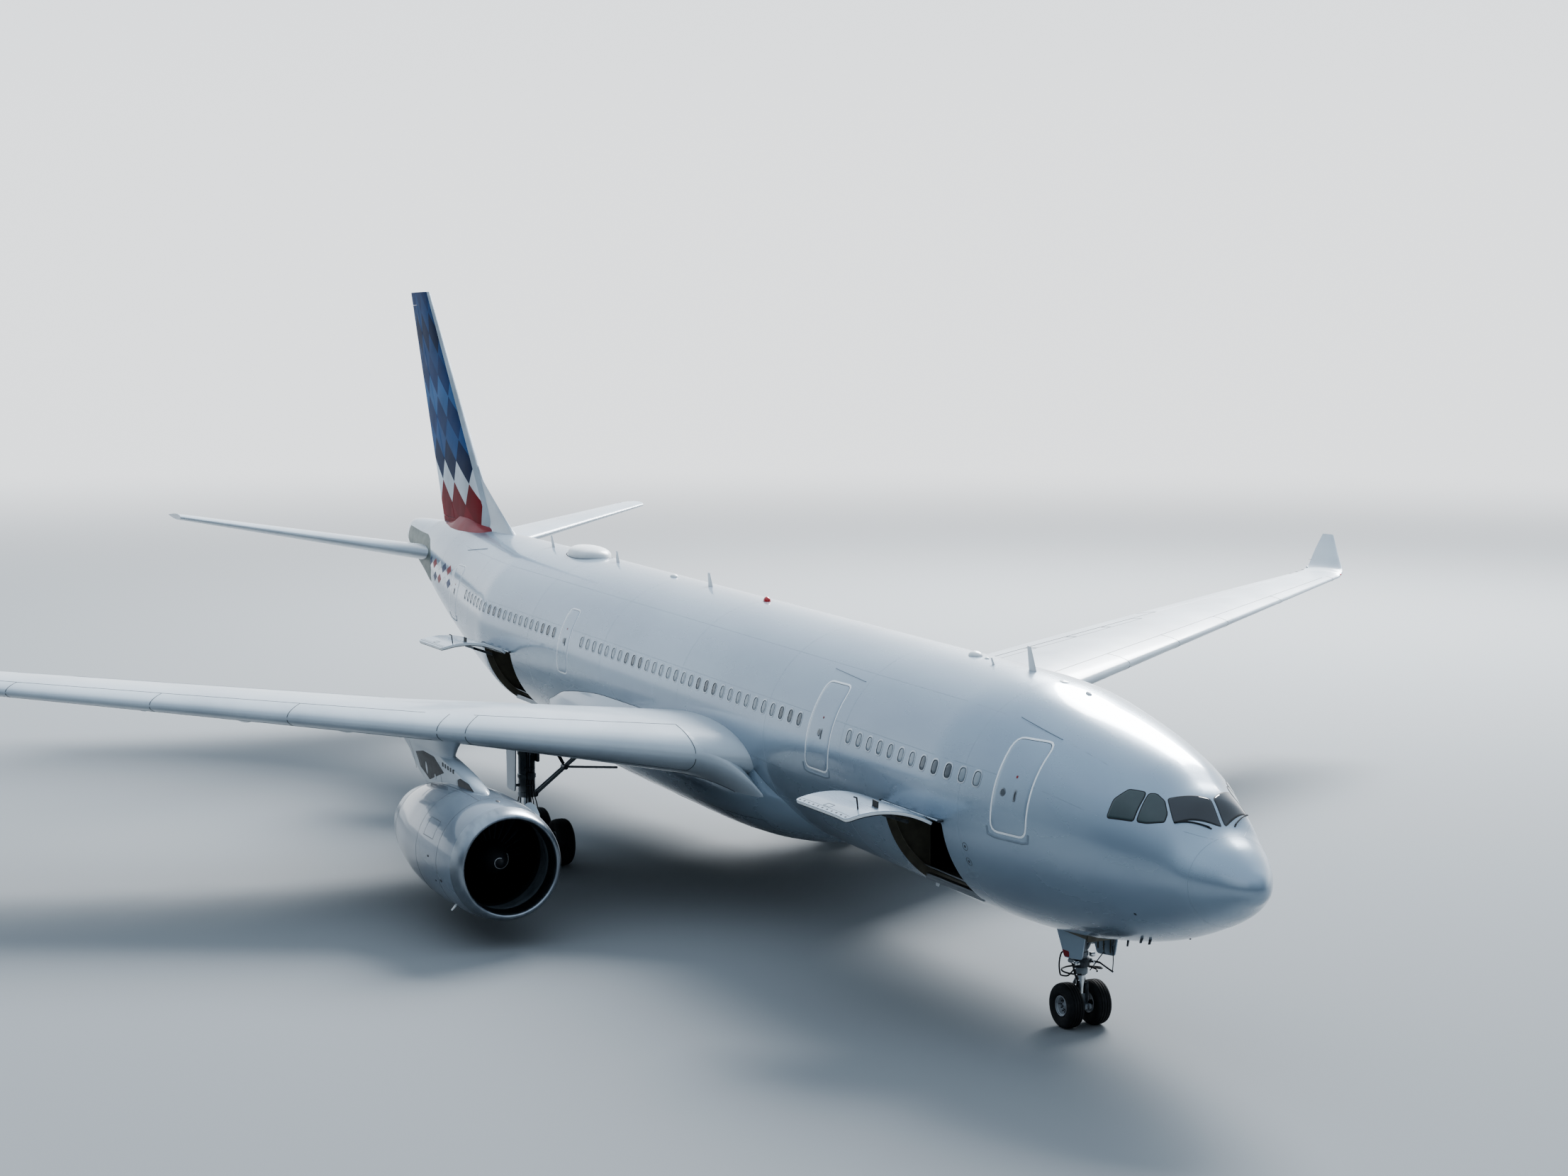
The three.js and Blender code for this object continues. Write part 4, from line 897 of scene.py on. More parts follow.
def cargoDoor(name):
    ends = cargoDoors[name][0]
    deep = cargo["depth"]
    hinge = hingeLine(ends)
    loop = doorwayLoop(ends, cargo["gap"])
    shares = (0.94, 0.85, 0.7, 0.55, 0.4, 0.2, 0)
    outer = [(share, 0) for share in shares[::-1]] + [(0.995, 0), (1, -0.012)]
    edge = [(1, -0.012), (1, -deep + 0.012), (0.99, -deep)]
    inner = [(0.99, -deep), (0.955, -deep), (0.95, -deep + 0.02), (0.915, -deep + 0.02),
        (0.905, -deep - 0.006)]
    inner += [(share, -deep - 0.012) for share in shares[1:]]
    parts = [doorwayShell(loop, outer), doorwayShell(loop, edge, 1), doorwayShell(loop, inner, 1),
        doorwayBand(doorwayLoop(ends, cargo["gap"] + 0.02), -deep, 0.022, 0.014, finish=2)]
    # latches along the free edge
    free = cargo["angles"][1]
    for s in linspace(ends[0] + 0.2, ends[1] - 0.2, 10):
        catch = roundedLoop(rectangle(s - 0.035, s + 0.035, free - 0.2 * perMetre, free - 0.12 * perMetre),
            0.02, 2, 3)
        parts += [doorwayShell(catch,
            [(1, -deep + 0.02), (0.95, -deep - 0.03), (0.5, -deep - 0.034), (0, -deep - 0.034)], 3),
            rod(belowLevel(s, free - 0.1 * perMetre, -deep + 0.03),
            belowLevel(s, free - 0.03 * perMetre, -deep - 0.015), 0.018, 3, 8)]
    # ribs pressed into the liner, and the recessed handle on the outside
    for share in (1 / 3, 2 / 3):
        s = ends[0] + share * (ends[1] - ends[0])
        rib = array([(s, degrees) for degrees in linspace(cargo["angles"][0] + 6, free - 7, 14)])
        parts.append(doorwayBand(rib, -deep - 0.01, 0.1, 0.012, closed=False, finish=1))
    middle = sum(ends) / 2
    handle = roundedLoop(rectangle(middle - 0.16, middle + 0.16, free - 0.34 * perMetre,
        free - 0.2 * perMetre), 0.03, 3)
    parts.append(doorwayBand(handle, 0, 0.012, 0.003, inward=False, finish=2))
    # latch windows along the free edge, and a faint line above them
    for s in linspace(ends[0] + 0.18, ends[1] - 0.18, 11 if name == "forward" else 15):
        mark = roundedLoop(rectangle(s - 0.028, s + 0.028, free - 0.12 * perMetre,
            free - 0.075 * perMetre), 0.015, 2, 3)
        parts.append(doorwayShell(mark, [(1, 0), (0.9, 0.004), (0.5, 0.005), (0, 0.005)], 2))
    line = array([(s, free - 0.17 * perMetre) for s in linspace(ends[0] + 0.1, ends[1] - 0.1, 12)])
    parts.append(doorwayBand(line, 0, 0.01, 0.002, inward=False, closed=False, finish=3))
    # the open handle flap and its lever
    spot = ends[0] + 0.44
    foot, out = belowLevel(spot, 45, 0), hullNormal(spot, radians(225))
    along = belowLevel(spot, 48, 0) - foot
    parts.append(sweep(array([foot, foot + out * 0.26, foot + out * 0.3 + along * 0.5]),
        array([[1, 0, 0]] * 3), strip(0.03, 0.02), finish=2))
    flap, out = [belowLevel(spot + t, 36, 0) for t in (-0.16, 0.14)], hullNormal(spot, radians(216))
    parts.append(plate(array([flap[0], flap[1], flap[1] + out * 0.15, flap[0] + out * 0.15]), along * 0.12,
        0.004, 2))
    # hinge pin, arms, and the jack that lifts the door
    parts.append(rod(hinge + (ends[0] + 0.02, 0, 0), hinge + (ends[1] - 0.02, 0, 0), 0.024, 0))
    for share in (0.2, 0.5, 0.8):
        s = ends[0] + share * (ends[1] - ends[0])
        for shift in (-0.045, 0.045):
            parts.append(rod(hinge + (s + shift, 0, 0), belowLevel(s + shift, 13, -0.1), 0.022, 4, 10,
                0.03))
    for share in (0.34, 0.66):
        s = ends[0] + share * (ends[1] - ends[0])
        foot, head = belowLevel(s, 10.5, -0.24), belowLevel(s, 36, -deep - 0.05)
        parts += [rod(foot, foot + (head - foot) * 0.6, 0.04, 3, 12), rod(foot, head, 0.022, 5, 10),
            pin(head, (0.05, 0, 0), 0.04, 3, 12)]
    made = ("micaPaint", "whiteEnamel", "blackSeal", "platedSteel", "gearEnamel", "chromePlate")
    makePiece(f"{name}_cargo_door_panel", made, [swungOpen(part, hinge) for part in parts], "silver_paint",
        f"{name}_cargo_door", body=f"{name}_cargo_door")


def cargoDoorway(name):
    ends, (start, finish) = cargoDoors[name]
    sharp, loop = doorwayLoop(ends, 0, 0.004), doorwayLoop(ends)
    at = [belowLevel(*sharp.T), belowLevel(*loop.T, -0.001), belowLevel(*loop.T, -cargo["frame"])]
    flange = grown(loop, -0.05)
    at += [belowLevel(*flange.T, -cargo["frame"]), belowLevel(*flange.T, -cargo["frame"] - 0.02)]
    corners, reveal = grid(at[:2], wrap=True), grid(at[1:], wrap=True, finish=1)
    parts = [corners, reveal]
    free = cargo["angles"][1]
    for s in linspace(ends[0] + 0.2, ends[1] - 0.2, 10):
        parts.append(rod(belowLevel(s, free - 0.01 * perMetre, -0.07),
            belowLevel(s, free - 0.06 * perMetre, -0.07), 0.022, 2, 8))
    axis = hingeLine(ends)
    angle = math.radians(cargo["angles"][0])
    radial = array([0, -math.cos(angle), -math.sin(angle)])
    for s in (ends[0] - 0.05, ends[1] + 0.05):
        parts.append(rod(axis + (s, 0, 0) - radial * 0.2, axis + (s, 0, 0) + radial * 0.034, 0.034, 2, 12))
    sill = array([(s, free - 0.3 * perMetre) for s in linspace(ends[0] + 0.1, ends[1] - 0.1, 12)])
    parts.append(doorwayBand(sill, -cargo["frame"], 0.1, 0.012, inward=False, closed=False, finish=3))
    makePiece(f"{name}_cargo_doorway_frame",
        ("micaPaint", "framePrimer", "platedSteel", "brushedAluminium"), parts, "hold_lining")
    # the hold: floor, roof, walls, and the jambs that run out to the skin
    z = centreline(sum(ends) / 2)
    floor, roof, half = z + hold["floor"], z + hold["roof"], hold["halfWidth"]
    walls = [block((start, -half, floor - 0.02), (finish, half, floor)),
        block((start, -half, roof), (finish, half, roof + 0.02)),
        block((start, half, floor), (finish, half + 0.02, roof)),
        block((start - 0.02, -half, floor), (start, half, roof)),
        block((finish, -half, floor), (finish + 0.02, half, roof)),
        block((start, -half, floor), (ends[0] - 0.02, -half + 0.02, roof)),
        block((ends[1] + 0.02, -half, floor), (finish, -half + 0.02, roof)),
        block((ends[0], -hullRadius + 0.2, roof + 0.01), (ends[1], -half, roof + 0.03))]
    for s, out in ((ends[0] - 0.03, -1), (ends[1] + 0.03, 1)):
        arc = belowLevel(s, linspace(8.6, 54, 16), -0.19)
        inner = [(s, -half + 0.01, floor), (s, -half + 0.01, roof)]
        walls.append(plate(vstack([arc, inner]), (out * 0.02, 0, 0), 0.004, 1))
    for s in arange(start + 0.27, finish, 0.533):
        walls.append(block((s, half - 0.03, floor), (s + 0.05, half, roof), 0.008, 1))
    for y in (-1.05, -0.35, 0.35, 1.05):
        walls += [block((start + 0.05, y - 0.06, floor), (finish - 0.05, y - 0.045, floor + 0.04), 0.004,
            2), block((start + 0.05, y + 0.045, floor), (finish - 0.05, y + 0.06, floor + 0.04), 0.004, 2)]
        for s in arange(start + 0.3, finish - 0.2, 0.3):
            walls.append(pin((s, y, floor + 0.035), (0, 0.045, 0), 0.02, 2, 8))
    walls.append(block((ends[0], -half - 0.12, floor - 0.14), (ends[1], -half + 0.02, floor), 0.01, 2))
    makePiece(f"{name}_hold_lining", ("holdLining", "framePrimer", "brushedAluminium"), walls,
        "hold_lining")


for name in cargoDoors:
    cargoDoor(name)
    cargoDoorway(name)
print("cargo doors and holds made")

# Joints of the skin, fittings and painted marks

crown, keel = 90, 270  # degrees round the hull
hullJoints = dict(rings=(1.12, 7.62, 13.3, 17.6, 23.4, 29.4, 35.9, 43, 48.9, 54.4),
    laps=(52, 22, -12, 128, 158, 192))
staticPorts = dict(spots=((7.49, -0.8), (7.52, -1.16)), radius=0.09)
tailLozenges = dict(front=46.1, step=0.86, rows=(0.93, 1.37), half=(0.37, 0.19), count=6)


def skinJoints():
    parts = []
    for s in hullJoints["rings"]:
        around = radians(arange(0, 360, 3))
        if abs(s - 7.62) < 0.1:
            around = around[np.abs(around - math.radians(270)) > 0.1]
        parts.append(hullJoint([(s, angle) for angle in around], 0.008, 0.001, len(around) == 120))
    for degrees in hullJoints["laps"]:
        spans = [(7.7, 8.1), (11.2, 37.5), (40.6, 45)] if degrees == 192 else [(3.4, 47)]
        for a, b in spans:
            parts.append(hullJoint([(s, math.radians(degrees)) for s in arange(a, b, 0.5)], 0.008, 0.001))
    for side in sides.values():
        s, y, rise = [linspace(a, b, 8) for a, b in ((1.58, 1.16), (0.82 * side, 0.38 * side),
            (0.56, 0.45))]
        parts.append(hullJoint(stack([s, hullAngle(s, rise, side, y)], -1), 0.01, 0.001))
    makePiece("skin_joints", "panelJoint", parts, "dark_seal")


def portSpot(s, height, half=0.03):
    return roundedLoop(rectangle(s - half, s + half, height - half, height + half), half / 2, 2, 3)


def fittings():
    up, down = math.radians(crown), math.radians(keel)
    white = [blister(11.55, up, 0.22, 0.16, 0.12), blister(11.0, up, 0.08, 0.05, 0.04),
        blister(7.52, up, 0.14, 0.1, 0.03), blister(6.5, up, 0.1, 0.06, 0.05),
        hullMast(10.19, crown + 6, 0.12, 0.16, 0.5, 0.7), hullMast(34.9, crown, 0.3, 0.36, 0.35, 0.5),
        hullMast(40.49, crown + 3.8, 0.3, 0.4, 0.35, 0.5), blister(30.2, up, 0.2, 0.11, 0.09),
        blister(45.2, up, 0.12, 0.08, 0.06), hullMast(8.9, crown, 0.34, 0.55, 0.35, 0.5),
        hullMast(27.4, crown, 0.34, 0.4, 0.35, 0.5), hullMast(13.2, keel, 0.34, 0.4, 0.35, 0.5),
        hullMast(39.6, keel, 0.3, 0.34, 0.35, 0.5), hullMast(15.6, keel, 0.12, 0.2, 0.7, 0.7),
        hullMast(42.6, keel, 0.12, 0.2, 0.7, 0.7)]
    makePiece("aerials", "whiteEnamel", white, "white_paint")
    lamps = [blister(23.42, up, 0.14, 0.1, 0.13), blister(26, down, 0.14, 0.1, 0.12, point=fairingPoint)]
    makePiece("beacons", "redLens", lamps, "lamp_glass")
    dome = blister(37.5, up, 1.28, 0.6, 0.31, bulge=2.7)
    skirt = array([(37.5 + 1.38 * math.cos(t),
        up + 0.64 / hullRadius * math.sin(t)) for t in wholeTurn(59)])
    makePiece("satcom_dome", ("whiteEnamel", "sealant"), [dome, hullJoint(skirt, 0.03, 0.004, True, 1)],
        "white_paint", "satcom_radome")
    probes = []
    for side in sides.values():
        for s, height in staticPorts["spots"]:
            ring = oval(s, height, staticPorts["radius"], staticPorts["radius"], 32)
            probes += [sideBand(ring, side, 0.012, 0.002),
                sidePanel(portSpot(s, height), side, layers((0.9, 0), 0.003))]
        probes.append(sidePanel(portSpot(2.66, -1.36, 0.025), side, layers((0.9, 0), 0.003)))
        for s, degrees in ((3.32, 19.8), (3.2, 15.8)):
            probes.append(hullMast(s, keel - side * degrees, 0.1, 0.1, 0.2, 0.8, 0.3))
    for s in (4.55, 5.1):
        probes.append(hullMast(s, keel - 4, 0.07, 0.13, 0.3, 0.8, 0.6))
    makePiece("probes_and_ports", "platedSteel", probes, "bare_metal")


def tailMarkings():
    # generic lozenges at the rear, in the colours of the fin's lattice
    marks = tailLozenges
    long, tall = marks["half"]
    for index, key in enumerate(("redEnamel", "navyEnamel", "whiteEnamel")):
        parts = []
        for side in sides.values():
            for row, rise in enumerate(marks["rows"]):
                for i in range(marks["count"]):
                    if (i + 2 * row) % 3 != index:
                        continue
                    s = marks["front"] + marks["step"] * (i + row / 2)
                    loop = roundedLoop([(s - long, rise), (s, rise - tall), (s + long, rise),
                        (s, rise + tall)], 0.03, 5, 3)
                    parts.append(sidePanel(loop, side, layers((0.98, 0.6, 0.3, 0), 0.003)))
        makePiece(f"tail_lozenges_{key.removesuffix('Enamel')}", key, parts,
            ("red_paint", "tail_paint", "white_paint")[index])


def tailAprons():
    # bare steel sheet on the skin round each tailplane's root
    loop = roundedLoop([(56.6, 141), (54.5, 140), (53.0, 138.5), (52.3, 143), (51.2, 158), (50.5, 175),
        (50.5, 190), (51.5, 200), (54, 205), (56.6, 200)], 0.3, 6, 3)
    parts = []
    for side in sides.values():
        def skin(s, degrees, lift):
            return hullPoint(s, radians(degrees if side == right else 180 - degrees), lift)

        parts.append(patch(loop, layers((0.99, *linspace(0.9, 0, 10)), 0.004, -0.002), skin))
    makePiece("tailplane_aprons", "apronSteel", parts, "bare_metal")


skinJoints()
fittings()
tailMarkings()
tailAprons()
print("joints, fittings and marks made")

# Aerofoils

def halfThickness(x):
    # the four-digit series' formula for half the thickness at a share of the chord
    return 5 * (0.2969 * np.sqrt(x) - 0.126 * x - 0.3516 * x ** 2 + 0.2843 * x ** 3 - 0.1015 * x ** 4)


def foilRows(names, rows):
    # columns by name, all against the first one
    table = asarray(rows, float)
    return {name: table[:, i] for i, name in enumerate(names)}


wingNames = ("span", "y", "lead", "trail", "z", "incidence", "ratio", "camber", "cant")
wingTrail = [
    # y, trailing edge, incidence, thickness ratio
    (2.3, 29.88, 3, 0.15),
    (5.5, 30.1, 2.2, 0.135),
    (9.6, 30.35, 1.2, 0.118),
    (16, 32.54, 0.5, 0.108),
    (23, 34.93, -0.3, 0.104),
    (29.2, 37.05, -1, 0.1),
]
wingletTable = [
    # y, leading edge, trailing edge, z, incidence, ratio, camber, cant
    (29.2, 34.77, 37.05, 6.65, -1, 0.1, 0.015, 0),
    (29.55, 35.05, 37.2, 6.84, 0, 0.09, 0, 42),
    (29.83, 35.7, 37.18, 7.4, 0, 0.085, 0, 68),
    (30.12, 36.39, 37.04, 8.1, 0, 0.08, 0, 76),
]
tipSpans = linspace(29.2, 30.12, 25)[1:]
wing = foilRows(wingNames, [*[(y, y, 16.872 + 0.613 * y, trail, 4.168 + 0.085 * y, incidence, ratio, 0.015,
    0) for y, trail, incidence, ratio in wingTrail],
    *[(y, y, *row) for y, row in zip(tipSpans, smoothRows(wingletTable, tipSpans))]])
tailplane = foilRows(wingNames,
    [(0.7, 0.7, 51.44, 56.96, 7.17, 0, 0.11, 0, 0), (9.7, 9.7, 56.5, 58.82, 8.6, 0.6, 0.095, 0, 0)])
finFoil = foilRows(wingNames,
    [(7.6, 0, 45.9, 53.1, 7.6, 0, 0.1, 0, 90), (8.6, 0, 47.35, 53.5, 8.6, 0, 0.1, 0, 90),
    (17.4, 0, 55.15, 57.55, 17.4, 0, 0.1, 0, 90)])


def foilPoint(rows, span, share, face, side=left, lift=0.0):
    # leading edge plus the chord's share aft, then half the thickness and the camber square to
    # the chord, leaned over by the cant; face is 1 above and -1 below
    at = {name: interp(span, rows["span"], column) for name, column in rows.items() if name != "span"}
    chord = at["trail"] - at["lead"]
    lean = radians(at["cant"])
    along = share * chord
    bow = 4 * at["camber"] * share * (1 - share) * chord
    rise = face * (halfThickness(share) * at["ratio"] * chord + lift) + bow
    s = at["lead"] + along
    y = side * (at["y"] - rise * sin(lean))
    z = at["z"] - along * np.tan(radians(at["incidence"])) + rise * cos(lean)
    return stack(np.broadcast_arrays(s, y, z), -1)


def foilNormal(rows, span, share, face, side):
    nudge = 1e-3
    along = foilPoint(rows, span, share + nudge, face, side) - foilPoint(rows, span, share - nudge, face,
        side)
    across = foilPoint(rows, span + nudge, share, face, side) - foilPoint(rows, span - nudge, share, face,
        side)
    normal = unit(cross(along, across))
    return normal * (side * face * -1)


def bentSpan(rows, span, share, hingeShare):
    # the span of the point at this share on a line that leaves the hinge line square to it
    nudge = 0.01
    lead, trail = [interp(span, rows["span"], rows[name]) for name in ("lead", "trail")]
    leadRate = (interp(span + nudge, rows["span"], rows["lead"]) - lead) / nudge
    chordRate = (interp(span + nudge, rows["span"], rows["trail"]) - trail) / nudge - leadRate
    slope = leadRate + chordRate * hingeShare
    aft = maximum(share - hingeShare, 0)
    return span - slope * aft * (trail - lead) / (1 + slope * (leadRate + chordRate * share))


def loopShares(count):
    # once round the section: from the trailing edge over the top to the nose and back below
    step = arange(-count, count + 1)
    share = 0.5 * (1 - cos(pi * abs(step) / count))
    return share, where(step < 0, 1, -1)


controlGap = 0.05  # of the fixed skin ahead of a hinge line
columnsPerFace = 26


def fixedFoil(rows, side, spans, cuts, hingeShare, upright=False):
    # the aerofoil's skin with a bay cut out for each hinged surface (from, to); the columns run
    # square to the hinge line behind it, so that the bay's ends do too
    spans = array(spans, float)
    for edge in {end for cut in cuts for end in cut}:
        spans[np.argmin(abs(spans - edge))] = edge
    share, face = loopShares(columnsPerFace)
    share = np.insert(share, [3, len(share) - 3], hingeShare)
    face = np.insert(face, [3, len(face) - 3], [1, -1])
    order = np.lexsort((where(face > 0, -share, share), -face))
    share, face = share[order], face[order]
    chord = interp(spans, rows["span"], rows["trail"] - rows["lead"])
    edgeShare = hingeShare - controlGap / chord
    shares = where(np.isclose(share, hingeShare)[None], edgeShare[:, None],
        share[None] + 0 * chord[:, None])
    behind = share >= hingeShare - 1e-9
    # columns ahead of the hinge line stay ahead of the bay's front edge
    shares = where(~behind[None], minimum(shares, edgeShare[:, None]), shares)
    near = array([min(max(0, cut[0] - span, span - cut[1]) for cut in cuts) for span in spans])
    weight = clip(1 - near / 0.8, 0, 1)[:, None] * (0 if upright else 1)
    bent = bentSpan(rows, spans[:, None], maximum(shares, 0), hingeShare)
    at = spans[:, None] * (1 - weight) + bent * weight
    points = foilPoint(rows, at, shares, face[None], side)
    inBay = np.zeros(len(spans) - 1, bool)
    for low, high in cuts:
        inBay |= (spans[:-1] >= low - 1e-6) & (spans[1:] <= high + 1e-6)
    aft = behind[:-1] & behind[1:]
    aft = np.append(aft, True)  # the trailing edge's own strip
    keep = ~(inBay[:, None] & aft[None])
    uv = stack(np.broadcast_arrays(shares, ((spans - spans[0]) / np.ptp(spans))[:, None]), -1)
    parts = [grid(points, wrap=True, keep=keep, uv=uv)]
    # the bay's front wall is hollow, an arc about the hinge line, and its end walls are flat
    for low, high in cuts:
        rowsIn = where((spans >= low - 1e-6) & (spans <= high + 1e-6))[0]
        top = where((face > 0) & np.isclose(share, hingeShare))[0][0]
        bottom = where((face < 0) & np.isclose(share, hingeShare))[0][0]
        upper, lower = points[rowsIn, top], points[rowsIn, bottom]
        turn = linspace(0, pi, 9)
        middle = (upper + lower) / 2
        deep = array([-1.0, 0, 0]) * np.linalg.norm(upper - lower, axis=-1)[:, None] * 0.5
        wall = middle[:, None] + (upper - middle)[:, None] * cos(turn)[:, None] + deep[:,
            None] * sin(turn)[:, None]
        parts.append(grid(wall))
        for row in (rowsIn[0], rowsIn[-1]):
            upperEdge = points[row, :top + 1]
            lowerEdge = points[row, bottom:][::-1]
            parts.append(grid([upperEdge, lowerEdge]))
    return parts


def hingedFoil(rows, side, low, high, hingeShare, upright=False):
    # the hinged surface: skin aft of the hinge line, and a half round nose about it
    endGap = 0.012
    spans = linspace(low + endGap, high - endGap, 24)
    aft = hingeShare + (1 - hingeShare) * linspace(0, 1, 18)
    ends = bentSpan(rows, spans[:, None], aft[None], hingeShare) if not upright else spans[:,
        None] + 0 * aft[None]
    upper = foilPoint(rows, ends, aft[None], 1, side)
    lower = foilPoint(rows, ends, aft[None], -1, side)
    middle = (upper[:, 0] + lower[:, 0]) / 2
    up = (upper[:, 0] - lower[:, 0]) / 2
    along = unit(middle[-1] - middle[0])
    ahead = unit(cross(along, unit(up)))
    ahead = ahead * -np.sign(ahead[:, :1])
    reach = np.linalg.norm(up, axis=-1, keepdims=True) * 0.97
    turn = linspace(0, pi, 11)[1:-1]
    nose = middle[:, None] + (up * 0.97)[:, None] * cos(turn)[:, None] + (ahead * reach)[:,
        None] * sin(turn)[:, None]
    share = concatenate([aft[::-1], np.full(len(turn), hingeShare), aft])
    height = (spans - rows["span"][0]) / np.ptp(rows["span"])
    uv = stack(np.broadcast_arrays(share[None], height[:, None]), -1)
    return grid(concatenate([upper[:, ::-1], nose, lower], 1), wrap=True, caps=True, uv=uv)


flapFairing = dict(
    rows=[
        # y, length, radius
        (6.9, 4.2, 0.3),
        (11, 4.1, 0.29),
        (13.6, 3.8, 0.27),
        (16.2, 3.4, 0.24),
        (18.4, 2.7, 0.19),
    ],
    depth=1.35, drop=1.35, aft=0.25, share=0.74,
)


def canoe(y, length, radius, side):
    # a long teardrop: an ellipsoid whose nose is blunt and whose tail is drawn out
    upper = foilPoint(wing, y, flapFairing["share"], 1, left)
    lower = foilPoint(wing, y, flapFairing["share"], -1, left)
    middle = (upper + lower) / 2
    turn = linspace(0, pi, 28)
    along = -cos(turn) * length / 2
    girth = sin(turn) ** 0.85 * radius * (1 + 0.12 * cos(turn))
    angle = wholeTurn(28)
    s = middle[0] + flapFairing["aft"] + along[:, None] + 0 * angle
    across = minimum(girth, radius)[:, None] * cos(angle)
    up = minimum(girth, radius)[:, None] * flapFairing["depth"] * sin(angle)
    z = middle[2] - flapFairing["drop"] * radius + up
    return grid(stack([s, side * y + across, z], -1), wrap=True)


wingSpans = np.unique(concatenate([linspace(2.3, 9.6, 30), linspace(9.6, 29.2, 84), tipSpans]))
aileronCuts = [(19.4, 24.4), (24.5, 28.3)]
elevatorCut = [(1.75, 9.35)]
rudderCut = [(8.62, 16.9)]
hingeShares = dict(aileron=0.75, elevator=0.69, rudder=0.68)


def foilBand(rows, side, path, face, width, closed=False):
    # a thin band along (span, share) points of an aerofoil, with a point every half metre
    path = asarray(path, float)
    if not closed:
        count = max(2, int(np.abs(np.diff(path, axis=0)).max() / 0.5) + 2, 7)
        at = linspace(0, len(path) - 1, (len(path) - 1) * count + 1)
        path = stack([interp(at, arange(len(path)), column) for column in path.T], -1)
    span, share = path.T
    points = foilPoint(rows, span, share, face, side)
    return sweep(points, foilNormal(rows, span, share, face, side), strip(width, 0.002), closed)


def foilPatch(rows, side, loop, face, steps, finish=0):
    # a patch of an aerofoil's skin, its outline given as (span, share)
    return patch(loop, steps, lambda span, share, lift: foilPoint(rows, span, share, face, side, lift),
        finish)


def ellipsoid(centre, radii, finish=0):
    turn = linspace(0, pi, 11)[:, None]
    around = wholeTurn(20)[None]
    ball = stack(np.broadcast_arrays(cos(turn), sin(turn) * cos(around), sin(turn) * sin(around)), -1)
    return grid(asarray(centre, float) + ball * radii, wrap=True, finish=finish)


wingJoints = dict(slats=(3.98, 9.28, 9.94, 13.43, 16.68, 20.12, 24.2, 28.6), slatTop=0.13, slatBelow=0.06,
    spoilers=((4.3, 6.6), (10, 12.1), (12.2, 14.2), (14.3, 16.1), (16.2, 17.9)),
    spoilerShares=(0.62, 0.735), flaps=((3.3, 9.5), (9.6, 19.3)), flapShare=0.745,
    tanks=arange(4.6, 27, 1.15))


def wingDetails(sideName, side):
    dark = []
    top, below = wingJoints["slatTop"], wingJoints["slatBelow"]
    for y in wingJoints["slats"]:
        # the cuts are square to the leading edge, so they move inboard as they go aft
        slant = 0 if y < 5 else 0.6 * float(interp(y, wing["span"], wing["trail"] - wing["lead"]))
        dark += [foilBand(wing, side, [(y - slant * share, share) for share in (top, 0.05, 0.015, 0.001)],
            1, 0.016), foilBand(wing, side,
            [(y - slant * share, share) for share in (0.001, 0.015, below)], -1, 0.016)]
    for low, high in ((3.98, 9.28), (9.94, 28.6)):
        dark += [foilBand(wing, side, [(low, top), (high - 0.5, top)], 1, 0.016),
            foilBand(wing, side, [(low, below), (high - 0.2, below)], -1, 0.014)]
    for low, high in wingJoints["spoilers"]:
        a, b = wingJoints["spoilerShares"]
        dark.append(foilBand(wing, side, [(low, b), (low, a), (high, a), (high, b), (low, b)], 1, 0.018))
    for low, high in wingJoints["flaps"]:
        share = wingJoints["flapShare"]
        dark += [foilBand(wing, side, [(low, 0.985), (low, share), (high, share), (high, 0.985)], 1, 0.03),
            foilBand(wing, side, [(low, 0.985), (low, share - 0.04), (high, share - 0.04), (high, 0.985)],
            -1, 0.03)]
    for y in wingJoints["tanks"]:
        chord = interp(y, wing["span"], wing["trail"] - wing["lead"])
        for share in (0.3, 0.48):
            if abs(y - gear["main"]["y"]) < 1.6 and share > 0.4:
                continue
            dark.append(foilBand(wing, side, oval(y, share, 0.17, 0.24 / chord, 20), -1, 0.012,
                closed=True))
    # the bay above the main leg: a dark patch that is painted shade of the open bay, with its doors shut
    # ahead and behind
    leg = gear["main"]
    chordAt = interp(leg["y"], wing["span"], wing["trail"] - wing["lead"])
    shareAt = (leg["s"] - interp(leg["y"], wing["span"], wing["lead"])) / chordAt
    bay = roundedLoop([(3.7, shareAt - 0.09), (5.95, shareAt - 0.07), (5.95, shareAt + 0.07),
        (3.7, shareAt + 0.05)], 0.02, 8, 4)
    dark.append(foilPatch(wing, side, bay, -1, layers((0.99, 0.6, 0.3, 0), 0.004, -0.002), 1))
    # landing lamp in the root
    lampLoop = oval(3.5, 0.115, 0.2, 0.014, 20)
    dark += [foilPatch(wing, side, lampLoop, -1, [(1, 0), (0.95, 0.006), (0.8, 0.004)], 1),
        foilPatch(wing, side, lampLoop, -1, [(0.82, 0), (0.8, 0.005), (0.5, 0.008), (0, 0.01)], 2)]
    makePiece(f"wing_joints_{sideName}", ("sealant", "ductPaint", "clearLens"), dark, "dark_seal")
    lens = "redLens" if side == left else "greenLens"
    tip = foilPoint(wing, 29.32, 0.02, 1, side)
    lamps = [ellipsoid(tip + (0.16, 0, -0.03), (0.24, 0.05, 0.05))]
    strobe = foilPoint(wing, 29.5, 0.98, 1, side)
    lamps.append(ellipsoid(strobe, (0.07, 0.04, 0.04), 1))
    makePiece(f"wing_tip_lamps_{sideName}", (lens, "clearLens"), lamps, "lamp_glass")
    wicks = [wick(foilPoint(wing, span, 1, 1, side)) for span in (28.5, 28.9, 29.3, 29.7)]
    wicks += [wick(foilPoint(tailplane, span, 1, 1, side)) for span in (9.45, 9.6)]
    makePiece(f"static_wicks_{sideName}", "ductPaint", wicks, "dark_seal")


